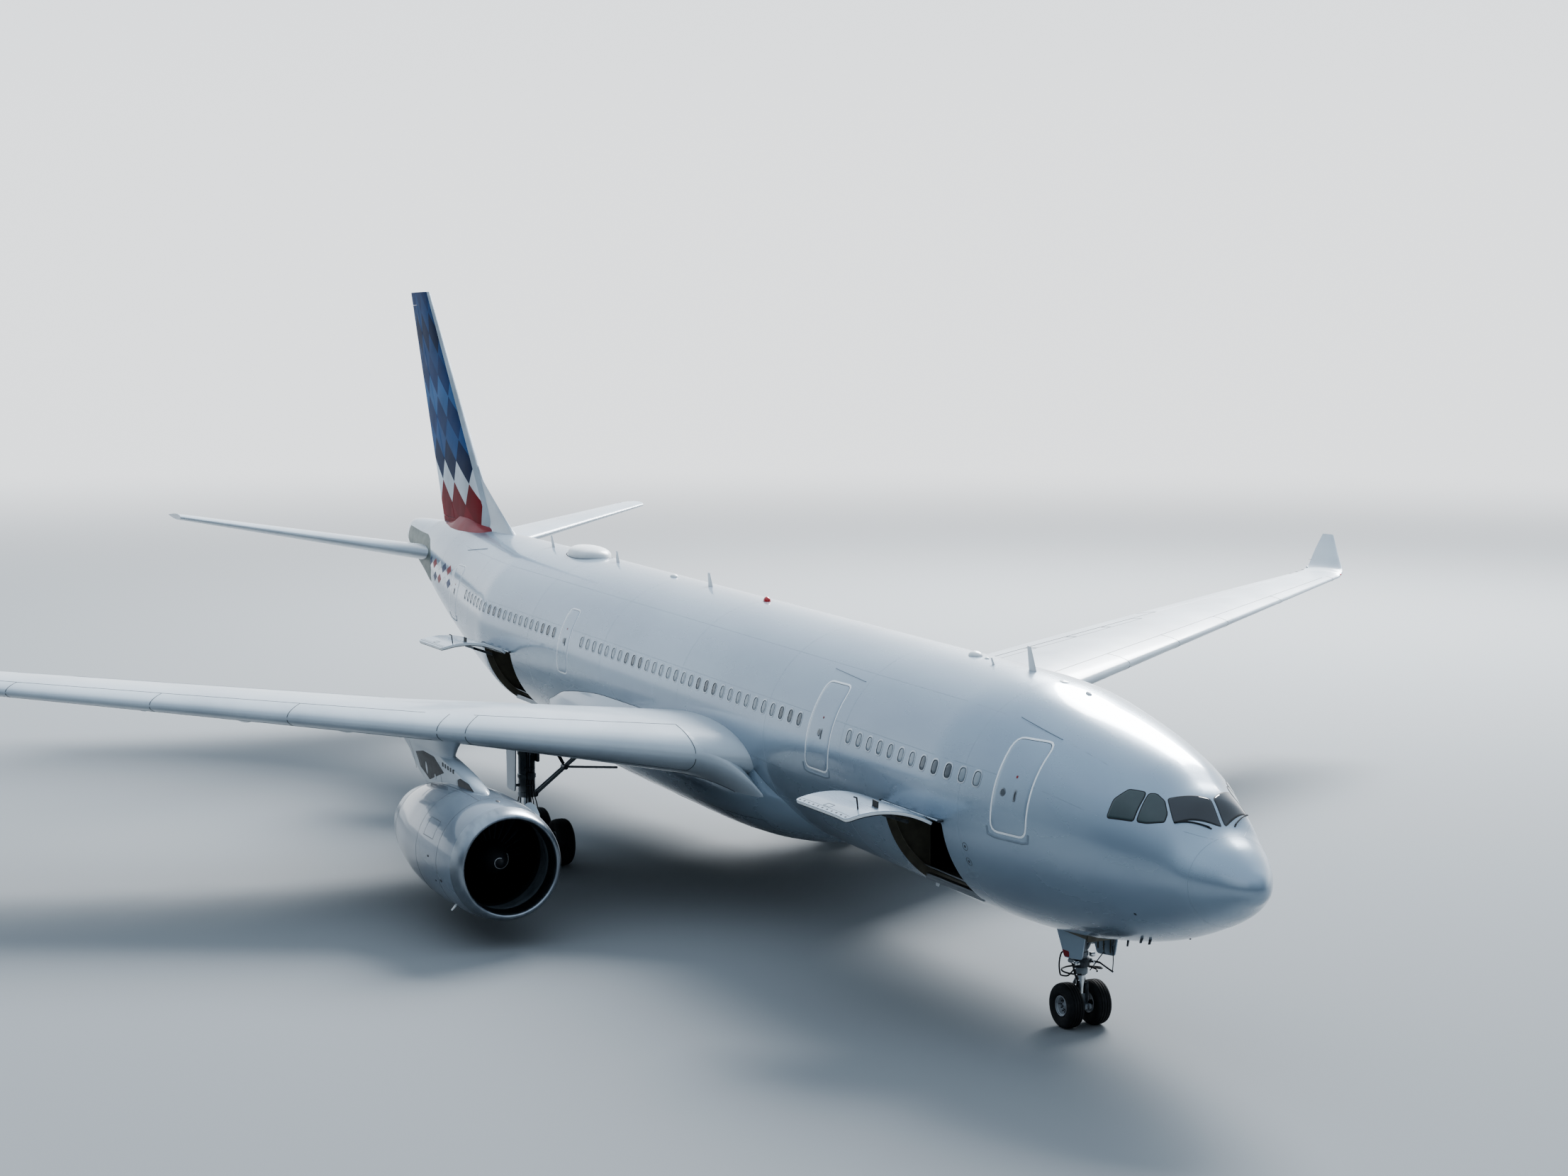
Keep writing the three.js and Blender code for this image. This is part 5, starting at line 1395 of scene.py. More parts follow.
def rootFillet(sideName, side):
    # the wing's nose swells into the fairing: a quadratic arc from each point of the section at the
    # first slat, along the wing, to a curve on the fairing
    edge = array([(20.3, 13.5), (19.5, 10.5), (18.9, 7.5), (18.45, 4), (18.15, 0), (18.12, -3),
        (18.24, -4), (18.84, -4.5), (19.4, -4.5)])
    at = linspace(0, len(edge) - 1, 33)
    s, degrees = [interp(at, arange(len(edge)), column) for column in edge.T]
    around = radians(degrees if side == left else 180 - degrees)
    inner = fairingPoint(s, around, -0.01)
    share = concatenate([linspace(1, 0, 21) ** 2 * 0.12, linspace(0, 1, 13)[1:] ** 2 * 0.15])
    face = where(arange(33) <= 20, 1, -1)
    section, ahead = [array([foilPoint(wing, y, a, b, side) for a, b in zip(share, face)]) for y in (3.98,
        3.2)]
    t = linspace(0, 1, 17)[:, None, None]
    points = (1 - t) ** 2 * section + 2 * t * (1 - t) * ahead + t * t * inner
    low = points[:, -1]
    seam = sweep(low, (0, 0, -1), strip(0.03, 0.006, 0.01), finish=1)
    makePiece(f"wing_root_fillet_{sideName}", ("greyEnamel", "sealant"), [grid(points), seam], "grey_paint")


def wick(root):
    return rod(root - (0.04, 0, 0), root + (0.16, 0, -0.01), 0.008, 0, 6, 0.004)


def lozengeEnamel():
    # polyurethane enamel in a lattice of lozenges: two families of slanted lines, a = 3x + 6y and
    # b = 3x - 6y in shares of the chord and the height, cut the fin into cells, whose colour steps
    # with the cell's height, (a - b) / 12, and alternates between two tones; a silver strip along
    # the leading edge widens towards the foot
    material, tree = startFinish("lozenge_enamel_sprayed")

    def maths(operation, *values):
        return addNode(tree, "ShaderNodeMath", {"operation": operation}, dict(enumerate(values))).outputs[0]

    spot = addNode(tree, "ShaderNodeUVMap", {"uv_map": "surface"})
    parts = addNode(tree, "ShaderNodeSeparateXYZ", inputs={"Vector": spot.outputs[0]})
    x, y = parts.outputs["X"], parts.outputs["Y"]
    a = maths("FLOOR", maths("ADD", maths("MULTIPLY", x, 3.0), maths("MULTIPLY", y, 6.0)))
    b = maths("FLOOR", maths("SUBTRACT", maths("MULTIPLY", x, 3.0), maths("MULTIPLY", y, 6.0)))
    height = maths("DIVIDE", maths("SUBTRACT", a, b), 12.0)
    odd = maths("FLOORED_MODULO", maths("ADD", a, b), 2.0)
    deep = ramp(tree, height, [(0, "#7d131d"), (0.17, "#aab6c1"), (0.29, "#12294e"), (0.5, "#1a3a68"),
        (0.7, "#10264a"), (0.95, "#1a3a68")], "CONSTANT")
    pale = ramp(tree, height, [(0, "#8c1a25"), (0.12, "#d9dfe4"), (0.29, "#2c5585"), (0.5, "#3d6a9a"),
        (0.7, "#234a7a"), (0.95, "#34608f")], "CONSTANT")
    cells = addNode(tree, "ShaderNodeMix", {"data_type": "RGBA"}, {0: odd, 6: deep, 7: pale}).outputs[2]
    edge = maths("MULTIPLY_ADD", maths("MAXIMUM", maths("SUBTRACT", 0.17, y), 0), 1.1, 0.05)
    above = maths("GREATER_THAN", x, edge)
    silver = ramp(tree, cloudy(tree, 0.9), [(0.3, "#a9b2ba"), (0.62, "#bac3ca")])
    foot = addNode(tree, "ShaderNodeMix", {"data_type": "RGBA"}, {0: above, 6: silver, 7: cells})
    fade = ramp(tree, cloudy(tree, 0.7, 4.0), [(0.3, "#dcdcdc"), (0.65, "#ffffff")])
    shade = addNode(tree, "ShaderNodeMix", {"data_type": "RGBA", "blend_type": "MULTIPLY"},
        {0: 1, 6: foot.outputs[2], 7: fade})
    endFinish(tree, {"Base Color": shade.outputs[2],
        "Roughness": spread(tree, cloudy(tree, 0.4), 0.45, 0.6), "Specular IOR Level": 0.12})
    return material


finishes["lozengeEnamel"] = lozengeEnamel()


def wings(sideName, side):
    parts = fixedFoil(wing, side, wingSpans, aileronCuts, hingeShares["aileron"])
    parts[0]["caps"] = True
    makePiece(f"wing_skin_{sideName}", "greyEnamel", parts, "grey_paint", f"wing_{sideName}")
    canoes = [canoe(*row, side) for row in flapFairing["rows"]]
    makePiece(f"flap_fairings_{sideName}", "greyEnamel", canoes, "grey_paint")
    for name, (low, high) in zip(("inner", "outer"), aileronCuts):
        node = f"{name}_aileron_{sideName}"
        makePiece(f"{node}_skin", "greyEnamel",
            [hingedFoil(wing, side, low, high, hingeShares["aileron"])], "grey_paint", node, body=node)


def tail(sideName, side):
    spans = linspace(0.7, 9.7, 60)
    parts = fixedFoil(tailplane, side, spans, elevatorCut, hingeShares["elevator"])
    parts[0]["caps"] = True
    makePiece(f"tailplane_skin_{sideName}", "greyEnamel", parts, "grey_paint", f"tailplane_{sideName}")
    node = f"elevator_{sideName}"
    makePiece(f"{node}_skin", "greyEnamel",
        [hingedFoil(tailplane, side, *elevatorCut[0], hingeShares["elevator"])], "grey_paint", node,
        body=node)


gear = dict(main=dict(s=28.85, y=5.34, radius=0.6866, width=0.51, track=1.4, rim=0.31, axle=0.09,
    wheelbase=1.98), nose=dict(s=6.67, radius=0.5149, width=0.395, track=0.72, rim=0.22, axle=0.06))
for sideName, side in sides.items():
    wings(sideName, side)
    wingDetails(sideName, side)
    rootFillet(sideName, side)
    tail(sideName, side)


def finSkin():
    spans = linspace(7.6, 17.4, 80)
    parts = fixedFoil(finFoil, left, spans, rudderCut, hingeShares["rudder"], upright=True)
    parts[0]["caps"] = True
    makePiece("fin_skin", "lozengeEnamel", parts, "white_paint", "fin")
    makePiece("rudder_skin", "lozengeEnamel",
        [hingedFoil(finFoil, left, *rudderCut[0], hingeShares["rudder"], upright=True)], "tail_paint",
        "rudder", body="rudder")


dorsalTable = [
    # s, top edge's height
    (44.9, 8.35), (46.5, 9.12), (47.7, 9.73), (48.6, 10.2), (49.2, 10.75), (50.4, 10.75),
]


def dorsalFin():
    # a thin upright fillet ahead of the fin; its sides flare out where they meet the crown
    s = linspace(44.9, 50.0, 40)
    top = interp(s, *array(dorsalTable).T)
    base = hullPoint(s, math.radians(crown))[:, 2] - 0.06
    share = linspace(0, 1, 14)
    height = maximum(top - base, 0.05)[:, None]
    flare = 0.2 * np.exp(-share[None] * height / 0.13) * minimum(height, 1)
    half = 0.085 * np.sqrt(1 - share ** 2)[None] + flare
    z = base[:, None] + share[None] * height
    across = concatenate([half, -half[:, -2::-1]], 1)
    up = concatenate([z, z[:, -2::-1]], 1)
    points = stack([s[:, None] + 0 * up, across, up], -1)
    makePiece("dorsal_fin", "greyEnamel", [grid(points, wrap=True, caps=True)], "white_paint")


rootFairing = [
    # s, degrees round the hull of its foot, height of its top on the fin
    (46.97, 98.2, 8.45), (47.21, 105, 8.52), (48.44, 111.4, 8.74), (49.2, 113.2, 8.89),
    (49.82, 114.2, 8.95), (50.6, 113.7, 8.95), (51.02, 113, 8.75), (51.6, 109.6, 8.58), (52.1, 107, 8.5),
    (52.61, 103.8, 8.36),
]


def finFillet():
    # a full shoulder from the fin's side out to the crown: a quadratic arc whose corner stands above its foot
    s = linspace(46.97, 52.61, 60)
    around, high = smoothRows(rootFairing, s).T
    t = linspace(0, 1, 11)[None, :, None]
    parts = []
    for side in sides.values():
        lead, trail = [interp(high, finFoil["span"], finFoil[key]) for key in ("lead", "trail")]
        share = clip((s - lead) / (trail - lead), 0.004, 0.996)
        upper = foilPoint(finFoil, high, share, 1, side)
        upper = stack([s, upper[:, 1] * 0.97, high], -1)
        outer = hullPoint(s, radians(around if side == right else 180 - around), -0.004)
        corner = stack([s, outer[:, 1] * 0.8 + upper[:, 1] * 0.2, high - 0.12 * (high - outer[:, 2])], -1)
        points = (1 - t) ** 2 * upper[:, None] + 2 * t * (1 - t) * corner[:, None] + t * t * outer[:, None]
        parts.append(grid(points))
    makePiece("fin_root_fairing", "redEnamel", parts, "red_paint")


def tailEnd():
    # the auxiliary unit's exhaust: a rim, a pipe that runs forward, and its dark end
    angle = radians(arange(0, 360, 6))
    ring = hullPoint(57.5, angle)
    middle = ring.mean(0)
    rows = [middle + (ring - middle) * share + (shift, 0, 0) for share, shift in ((1, 0), (0.97, 0.012),
        (0.9, 0.012), (0.86, 0), (0.84, -0.3), (0.4, -0.32), (0, -0.32))]
    makePiece("exhaust_of_auxiliary_unit", ("exhaustAlloy", "ductPaint"),
        [grid(rows[:5], wrap=True), grid(rows[4:], wrap=True, finish=1)], "engine_metal")


finSkin()
dorsalFin()
finFillet()
tailEnd()
print("wings and tail made")

# Engines

engine = dict(y=9.37, z=2.15, fan=20.05, fanRadius=1.245, blades=26)
cowlOuter = [(18.62, 1.27), (18.7, 1.36), (19.1, 1.46), (19.9, 1.54), (21.2, 1.57), (22.8, 1.5),
    (24.3, 1.3), (25.6, 1)]
cowlInner = [(18.62, 1.27), (18.75, 1.2), (19.2, 1.17), (19.8, 1.26), (21.4, 1.26), (24, 1.16),
    (25.6, 0.96)]


def cowlProfile(table, s0, s1, count):
    s = s0 + (s1 - s0) * linspace(0, 1, count) ** (2 if s0 < 18.7 else 1)
    return stack([s, smoothRows(table, s, 0.5)[:, 0]], -1)


def turnedBand(profile, hub, s, width, lift):
    # a ribbon round a turned body
    radius = interp(s, *array(profile).T)
    rows = [(s - width / 2, radius - 0.003), (s - width * 0.4, radius + lift),
        (s + width * 0.4, radius + lift), (s + width / 2, radius - 0.003)]
    return turned(rows, hub, 0, 96)


def engineHub(side):
    return array((0, side * engine["y"], engine["z"]))


def cowl(sideName, side):
    hub = engineHub(side)
    lipEnd = 19.12
    lip = vstack([cowlProfile(cowlInner, 18.62, lipEnd, 16)[::-1],
        cowlProfile(cowlOuter, 18.62, lipEnd, 16)[1:]])
    outside = cowlProfile(cowlOuter, lipEnd, 25.6, 50)
    inside = cowlProfile(cowlInner, lipEnd, 25.6, 40)
    ahead = inside[inside[:, 0] < 20.1]
    behind = inside[inside[:, 0] > 19.9][::-1]
    rim = turned([outside[-1], (25.63, 0.98), behind[0]], hub, 3, 96)
    parts = [turned(outside, hub, 0, 96), turned(lip, hub, 1, 96), turned(ahead, hub, 2, 96),
        turned(behind, hub, 3, 96), rim]
    makePiece(f"cowl_{sideName}", ("cowlEnamel", "lipAluminiumShaded", "acousticSheet", "ductPaint"), parts,
        "grey_paint", f"nacelle_{sideName}", sharp=30)

    def skin(s, angle, lift=0.0):
        # the angle runs from the top towards port
        s, angle = np.broadcast_arrays(asarray(s, float), angle)
        radius = smoothRows(cowlOuter, s, 0.5)[..., 0] + lift
        return aroundAxis(s, hub, radius, angle)

    def along(s0, s1, degrees, width=0.014):
        s = linspace(s0, s1, 16)
        angle = math.radians(degrees)
        return sweep(skin(s, angle), (0, math.sin(angle), math.cos(angle)), strip(width, 0.0015, 0.003))

    marks = [turnedBand(outside, hub, s, 0.014, 0.0015) for s in (20.02, 21.72, 24.65)]
    marks += [along(20.02, 24.65, degrees) for degrees in (180, 14, -14)]
    marks += [along(20.3, 21.5, 180 + shift, 0.03) for shift in (-3, 3)]
    for s in (20.3, 20.75, 21.2, 22.1, 22.7, 23.3):
        marks.append(blister(s, math.radians(180), 0.09, 0.035, 0.014, 1, skin, 1.5))
    marks.append(blister(19.64, 0, 0.1, 0.05, 0.012, 2, skin, 1.5))
    for s, degrees, length, width in ((21.96, 224, 0.14, 0.05), (20.64, 272, 0.06, 0.03),
            (20.3, 250, 0.05, 0.03), (19.84, 253, 0.07, 0.04)):
        marks.append(blister(s, math.radians(degrees) * (1 if side < 0 else -1), length, width, 0.004, 2,
            skin, 1.5))
    for degrees in (62, 298):
        hatch = roundedLoop([(20.5, degrees - 9), (21.25, degrees - 9), (21.25, degrees + 9),
            (20.5, degrees + 9)], 0.1, 6, 4)
        points = skin(hatch[:, 0], radians(hatch[:, 1]))
        marks.append(sweep(points, (points - hub) * (0, 1, 1), strip(0.012, 0.0015, 0.003), True))
    drain = math.radians(214 if side < 0 else 146)
    marks.append(mast(skin(20.52, drain), (0, math.sin(drain), math.cos(drain)), 0.14, 0.16, 0.4, 0.7, 0.3,
        finish=3))
    inboard = math.radians(-52 * side)
    normal = array((0, math.sin(inboard), math.cos(inboard)))
    chine = [(19.85, 0), (20.1, 0.1), (20.7, 0.24), (21.15, 0.26), (21.3, 0.2), (21.32, 0)]
    edge = array([skin(s, inboard) + normal * (rise - 0.01) for s, rise in chine])
    push = cross((1, 0, 0), normal) * 0.024
    marks.append(plate(edge - push / 2, push, 0.006, 4))
    makePiece(f"cowl_fittings_{sideName}",
        ("sealant", "platedSteel", "ductPaint", "whiteEnamel", "greyEnamel"), marks, "grey_paint")


def bladeGrid(hub, side, index, count, rows, station):
    # a blade's rows give radius, chord, stagger and thickness; its section is a cambered lens
    turn = wholeTurn(18)[None]
    radius, chord, stagger, thick = [column[:, None] for column in asarray(rows, float).T]
    lean = radians(stagger)
    u = 0.5 * cos(turn)
    h = thick * 0.5 * sin(turn) + 0.07 * (1 - 4 * u * u)
    along = chord * (u * cos(lean) - h * sin(lean))
    across = chord * (u * sin(lean) + h * cos(lean)) * side
    angle = 2 * pi * index / count + across / radius
    points = aroundAxis(station + along, hub, radius, angle)
    return grid(points, wrap=True, caps=True)


fanRows = [
    # radius, chord, degrees from the axis, thickness ratio
    (0.4, 0.3, 24, 0.12), (0.5, 0.32, 30, 0.1), (0.65, 0.35, 37, 0.08), (0.8, 0.38, 44, 0.06),
    (0.95, 0.4, 50, 0.05), (1.08, 0.41, 55, 0.04), (1.18, 0.4, 59, 0.035), (1.236, 0.38, 61, 0.03),
]
vaneRows = [(0.44, 0.2, -14, 0.1), (0.85, 0.2, -16, 0.08), (1.255, 0.2, -18, 0.08)]


def fan(sideName, side):
    hub = engineHub(side)
    blades = [bladeGrid(hub, side, i, engine["blades"], fanRows,
        engine["fan"] + 0.22) for i in range(engine["blades"])]
    nose = [(19.3, 0), (19.32, 0.05), (19.42, 0.15), (19.6, 0.26), (19.8, 0.355), (20.0, 0.415),
        (20.1, 0.435), (20.12, 0.425), (20.14, 0.435), (20.5, 0.46), (20.5, 0)]
    spinner = turned(nose, hub, 1, 48)
    t = linspace(0, 1, 40)
    station = 19.36 + 0.26 * t
    radius = interp(station, *array(nose).T)
    angle = side * 1.7 * pi * t
    outward = stack([0 * t - 0.5, sin(angle), cos(angle)], -1)
    path = aroundAxis(station, hub, radius, angle)
    swirl = sweep(path, outward, strip(0.022, 0.003), finish=2)
    bolts = []
    for turn in arange(0, 2 * pi, pi / 10):
        foot = hub + (20.12, 0.4 * math.sin(turn), 0.4 * math.cos(turn))
        bolts.append(rod(foot, foot + (0, 0.04 * math.sin(turn), 0.04 * math.cos(turn)), 0.012, 3, 6))
    makePiece(f"fan_blades_{sideName}", ("fanTitaniumInShade", "ductPaint", "whiteEnamel", "platedSteel"),
        blades + [spinner, swirl] + bolts, "fan_metal", f"fan_{sideName}", body=f"fan_{sideName}")


def engineCore(sideName, side):
    hub = engineHub(side)
    vanes = [bladeGrid(hub, side, i, 44, vaneRows, 20.62) for i in range(44)]
    wall = turned([(20.72, 0), (20.72, 1.256), (20.8, 1.256), (20.84, 0.85), (21.1, 0.84), (23.0, 0.82)],
        hub, 0, 72)
    # the mixer: its radius waves round the core, more and more towards its end
    s = linspace(23.0, 24.35, 16)[:, None]
    turn = wholeTurn(192)[None]
    grow = ((s - 23.0) / 1.35) ** 1.5
    radius = 0.82 - 0.12 * grow + 0.15 * grow * cos(16 * turn)
    outer = aroundAxis(s, hub, radius, turn)
    inner = outer[::-1] * (1, 0, 0) + hub * (0, 1, 1) + (outer[::-1] - hub) * (0, 0.975, 0.975)
    mixer = grid(concatenate([outer, inner]), wrap=True, finish=1)
    plug = turned([(23.2, 0), (23.2, 0.55), (23.9, 0.5), (24.5, 0.4), (25.1, 0.24), (25.6, 0.1),
        (25.75, 0.06), (25.75, 0)], hub, 1, 56)
    shaft = rod(hub + (20.72, 0, 0), hub + (20.5, 0, 0), 0.14, 0)
    makePiece(f"engine_core_skin_{sideName}", ("ductPaint", "exhaustAlloy"),
        vanes + [wall, mixer, plug, shaft], "engine_metal", f"engine_core_{sideName}")


pylonTable = [
    # z, leading edge, trailing edge, half width
    (2.9, 21.7, 24.9, 0.2), (3.36, 21.6, 26.1, 0.22), (3.5, 20.6, 26.5, 0.225), (3.7, 20.45, 26.9, 0.23),
    (3.9, 21.2, 27.2, 0.235), (4.02, 21.9, 27.5, 0.235), (4.14, 22.8, 27.8, 0.23),
    (4.22, 23.35, 28.0, 0.22), (4.4, 23.3, 28.3, 0.27), (4.6, 23.15, 28.3, 0.34), (4.85, 23.0, 27.5, 0.42),
]


def pylonWidth(share):
    # a round nose, parallel sides, and a tail that tapers
    nose = np.sqrt(1 - (1 - minimum(share / 0.16, 1)) ** 2)
    return nose * (1 - 0.85 * clip((share - 0.5) / 0.5, 0, 1) ** 1.6)


def pylonSide(side, face, s, z, lift=0.0):
    lead, trail, half = np.moveaxis(smoothRows(pylonTable, z), -1, 0)
    across = pylonWidth(clip((s - lead) / (trail - lead), 0, 1)) * half + lift
    return stack(np.broadcast_arrays(s, side * engine["y"] + face * across, z), -1)


def pylon(sideName, side):
    z = linspace(2.9, 4.85, 40)[:, None]
    step = linspace(0, pi, 30)
    share = (0.5 * (1 - cos(step)))[None]
    lead, trail = [column[:, None] for column in smoothRows(pylonTable, z[:, 0])[:, :2].T]
    s = lead + share * (trail - lead)
    loop = concatenate([pylonSide(side, 1, s, z), pylonSide(side, -1, s, z)[:, -2:0:-1]], 1)
    parts = [grid(loop, wrap=True, caps=True)]
    for face in (-1, 1):
        def skin(s, z, lift):
            return pylonSide(side, face, s, z, lift)

        def raised(corners, radius=0.04, finish=1, rim=0.0):
            outline = roundedLoop(corners, radius, 8, 4)
            return patch(outline, layers((0.99, 0.7, 0.35, 0), 0.005 + rim, -0.002), skin, finish)

        # the dark patches (finish 1) are painted shade of the pylon's openings and vent slots
        parts += [raised([(24.9, 3.4), (23.4, 3.82), (24.3, 4.13), (25.3, 4.15), (26.3, 3.98),
            (26.0, 3.6)]), raised([(25.14, 3.48), (25.04, 3.69), (25.16, 3.9), (25.28, 3.69)], 0.08, 0,
            0.003), raised([(24.24, 3.49), (24.16, 3.58), (24.26, 3.68), (24.34, 3.58)], 0.04, 0, 0.003),
            raised([(20.95, 3.64), (21.0, 3.73), (21.4, 3.85), (22.0, 3.9), (22.25, 3.82), (22.2, 3.66)],
            0.04)]
        for s in linspace(22.6, 23.5, 5):
            z0 = 3.93 + (s - 22.6) * 0.06
            parts.append(raised([(s - 0.07, z0), (s + 0.05, z0), (s + 0.07, z0 + 0.11),
                (s - 0.05, z0 + 0.11)], 0.02))
        for station, top in ((22.1, 3.8), (23.6, 4.05), (26.6, 4.2)):
            line = stack([linspace(station, station + 0.25, 10), linspace(3.45, top, 10)], -1)
            points = pylonSide(side, face, line[:, 0], line[:, 1])
            parts.append(sweep(points, (0, face, 0), strip(0.012, 0.002, 0.003), finish=2))
    makePiece(f"pylon_skin_{sideName}", ("greyEnamel", "ductPaint", "sealant"), parts, "grey_paint",
        f"pylon_{sideName}")


for sideName, side in sides.items():
    cowl(sideName, side)
    fan(sideName, side)
    engineCore(sideName, side)
    pylon(sideName, side)
print("engines made")

# Landing gear

def tyreSection(size):
    # a superellipse, blunter above its widest line, with four grooves round the tread
    half, rim, top = size["width"] / 2, size["rim"], size["radius"]
    waist = rim + (top - rim) * 0.42
    grooves = array((-0.5, -0.17, 0.17, 0.5))
    edges = (grooves[:, None] + array((-0.05, -0.035, 0.035, 0.05))).ravel()
    share = np.sort(concatenate([sin(linspace(-pi / 2, pi / 2, 23)), edges]))
    rise = (1 - abs(share) ** 3.4) ** (1 / 3.4)
    deep = (abs(share[:, None] - grooves) < 0.04).any(1) * 0.014
    upper = stack([share * half, waist + (top - waist) * rise - deep], -1)
    back = sin(linspace(pi / 2, -pi / 2, 11))[1:-1]
    lower = stack([back * half, waist - (waist - rim * 0.95) * (1 - abs(back) ** 2.2) ** (1 / 2.2)], -1)
    return vstack([upper, lower])


rimShares = [
    # across, as a share of half the tyre's width, and radius, as a share of the rim's
    (0.52, 0), (0.52, 0.2), (0.46, 0.26), (0.3, 0.3), (0.22, 0.36), (0.12, 0.62), (0.2, 0.8), (0.62, 0.9),
    (0.7, 1.04), (0.78, 1.08), (0.84, 1.04), (0.8, 0.99), (-0.8, 0.99), (-0.84, 1.04), (-0.78, 1.08),
    (-0.7, 1.04), (-0.62, 0.9), (-0.3, 0.84), (-0.24, 0.5), (-0.24, 0),
]


def wheel(hub, size, out):
    hub = asarray(hub, float)
    half, rim = size["width"] / 2, size["rim"]
    parts = [turned(tyreSection(size), hub, 0, 64, (0, out, 0), ring=True),
        turned(array(rimShares) * (half, rim), hub, 1, 48, (0, out, 0))]
    for turn in arange(0, 2 * pi, pi / 6):
        spoke = array((math.cos(turn), 0, math.sin(turn)))
        foot = hub + spoke * rim * 0.68 + (0, out * half * 0.12, 0)
        parts.append(rod(foot, foot + (0, out * 0.045, 0), 0.016, 2, 6))
        # short dark plugs between the spokes are painted shade of the holes in the wheel
        between = array((math.cos(turn + 0.26), 0, math.sin(turn + 0.26)))
        shadedHole = hub + between * rim * 0.5 + (0, out * half * 0.17, 0)
        parts.append(rod(shadedHole - (0, out * 0.02, 0), shadedHole + (0, out * 0.004, 0), 0.026, 3, 10))
    cap = [(half * 0.5, 0), (half * 0.5, rim * 0.15), (half * 0.6, rim * 0.14), (half * 0.62, rim * 0.1),
        (half * 0.62, 0)]
    parts.append(turned(cap, hub, 2, 20, (0, out, 0)))
    valve = hub + (rim * 0.85, out * half * 0.3, 0)
    parts.append(rod(valve, valve + (0, out * 0.05, 0), 0.008, 2, 6))
    return parts


def wheelPair(name, hub, size):
    parts = []
    for out in (-1, 1):
        parts += wheel(np.add(hub, (0, out * size["track"] / 2, 0)), size, out)
    reach = size["track"] / 2 - size["width"] * 0.1
    parts.append(pin(hub, (0, reach, 0), size["axle"], 2))
    makePiece(f"{name}_tyres", ("tyreRubber", "wheelEnamel", "platedSteel", "ductPaint"), parts,
        "tyre_rubber", name, body=name)


hoseFinish = 3  # hoseRubber's place among the gear's finishes
hoseUp = unit((0.3, 0.5, 0.8))


def hose(points, radius=0.018, steps=24):
    # a round hose on a smooth curve through a few points
    points = asarray(points, float)
    table = column_stack([arange(len(points)), points])
    path = smoothRows(table, linspace(0, len(points) - 1, steps))
    angle = 2 * pi * arange(8) / 8
    circle = stack([cos(angle), sin(angle)], -1) * radius
    tangent = unit(np.gradient(path, axis=0))
    normals = hoseUp - (tangent @ hoseUp)[:, None] * tangent
    return sweep(path, normals, circle, finish=hoseFinish)


def link(apex, feet, radius, finish=0):
    # an A-shaped link: two bars that meet at an eye, with a thin web between
    parts = [rod(foot, apex, radius, finish, 10, radius * 0.8) for foot in feet]
    web = array([feet[0], feet[1], asarray(apex, float) + (0, 0.02, 0),
        asarray(apex, float) - (0, 0.02, 0)])
    normal = unit(cross(web[1] - web[0], web[2] - web[0])) * radius * 0.5
    parts += [plate(web - normal / 2, normal, 0.004, finish),
        pin(apex, (0, radius * 2, 0), radius * 1.1, finish)]
    return parts


gearFinishes = ("gearEnamel", "chromePlate", "platedSteel", "hoseRubber", "framePrimer", "whiteEnamel")


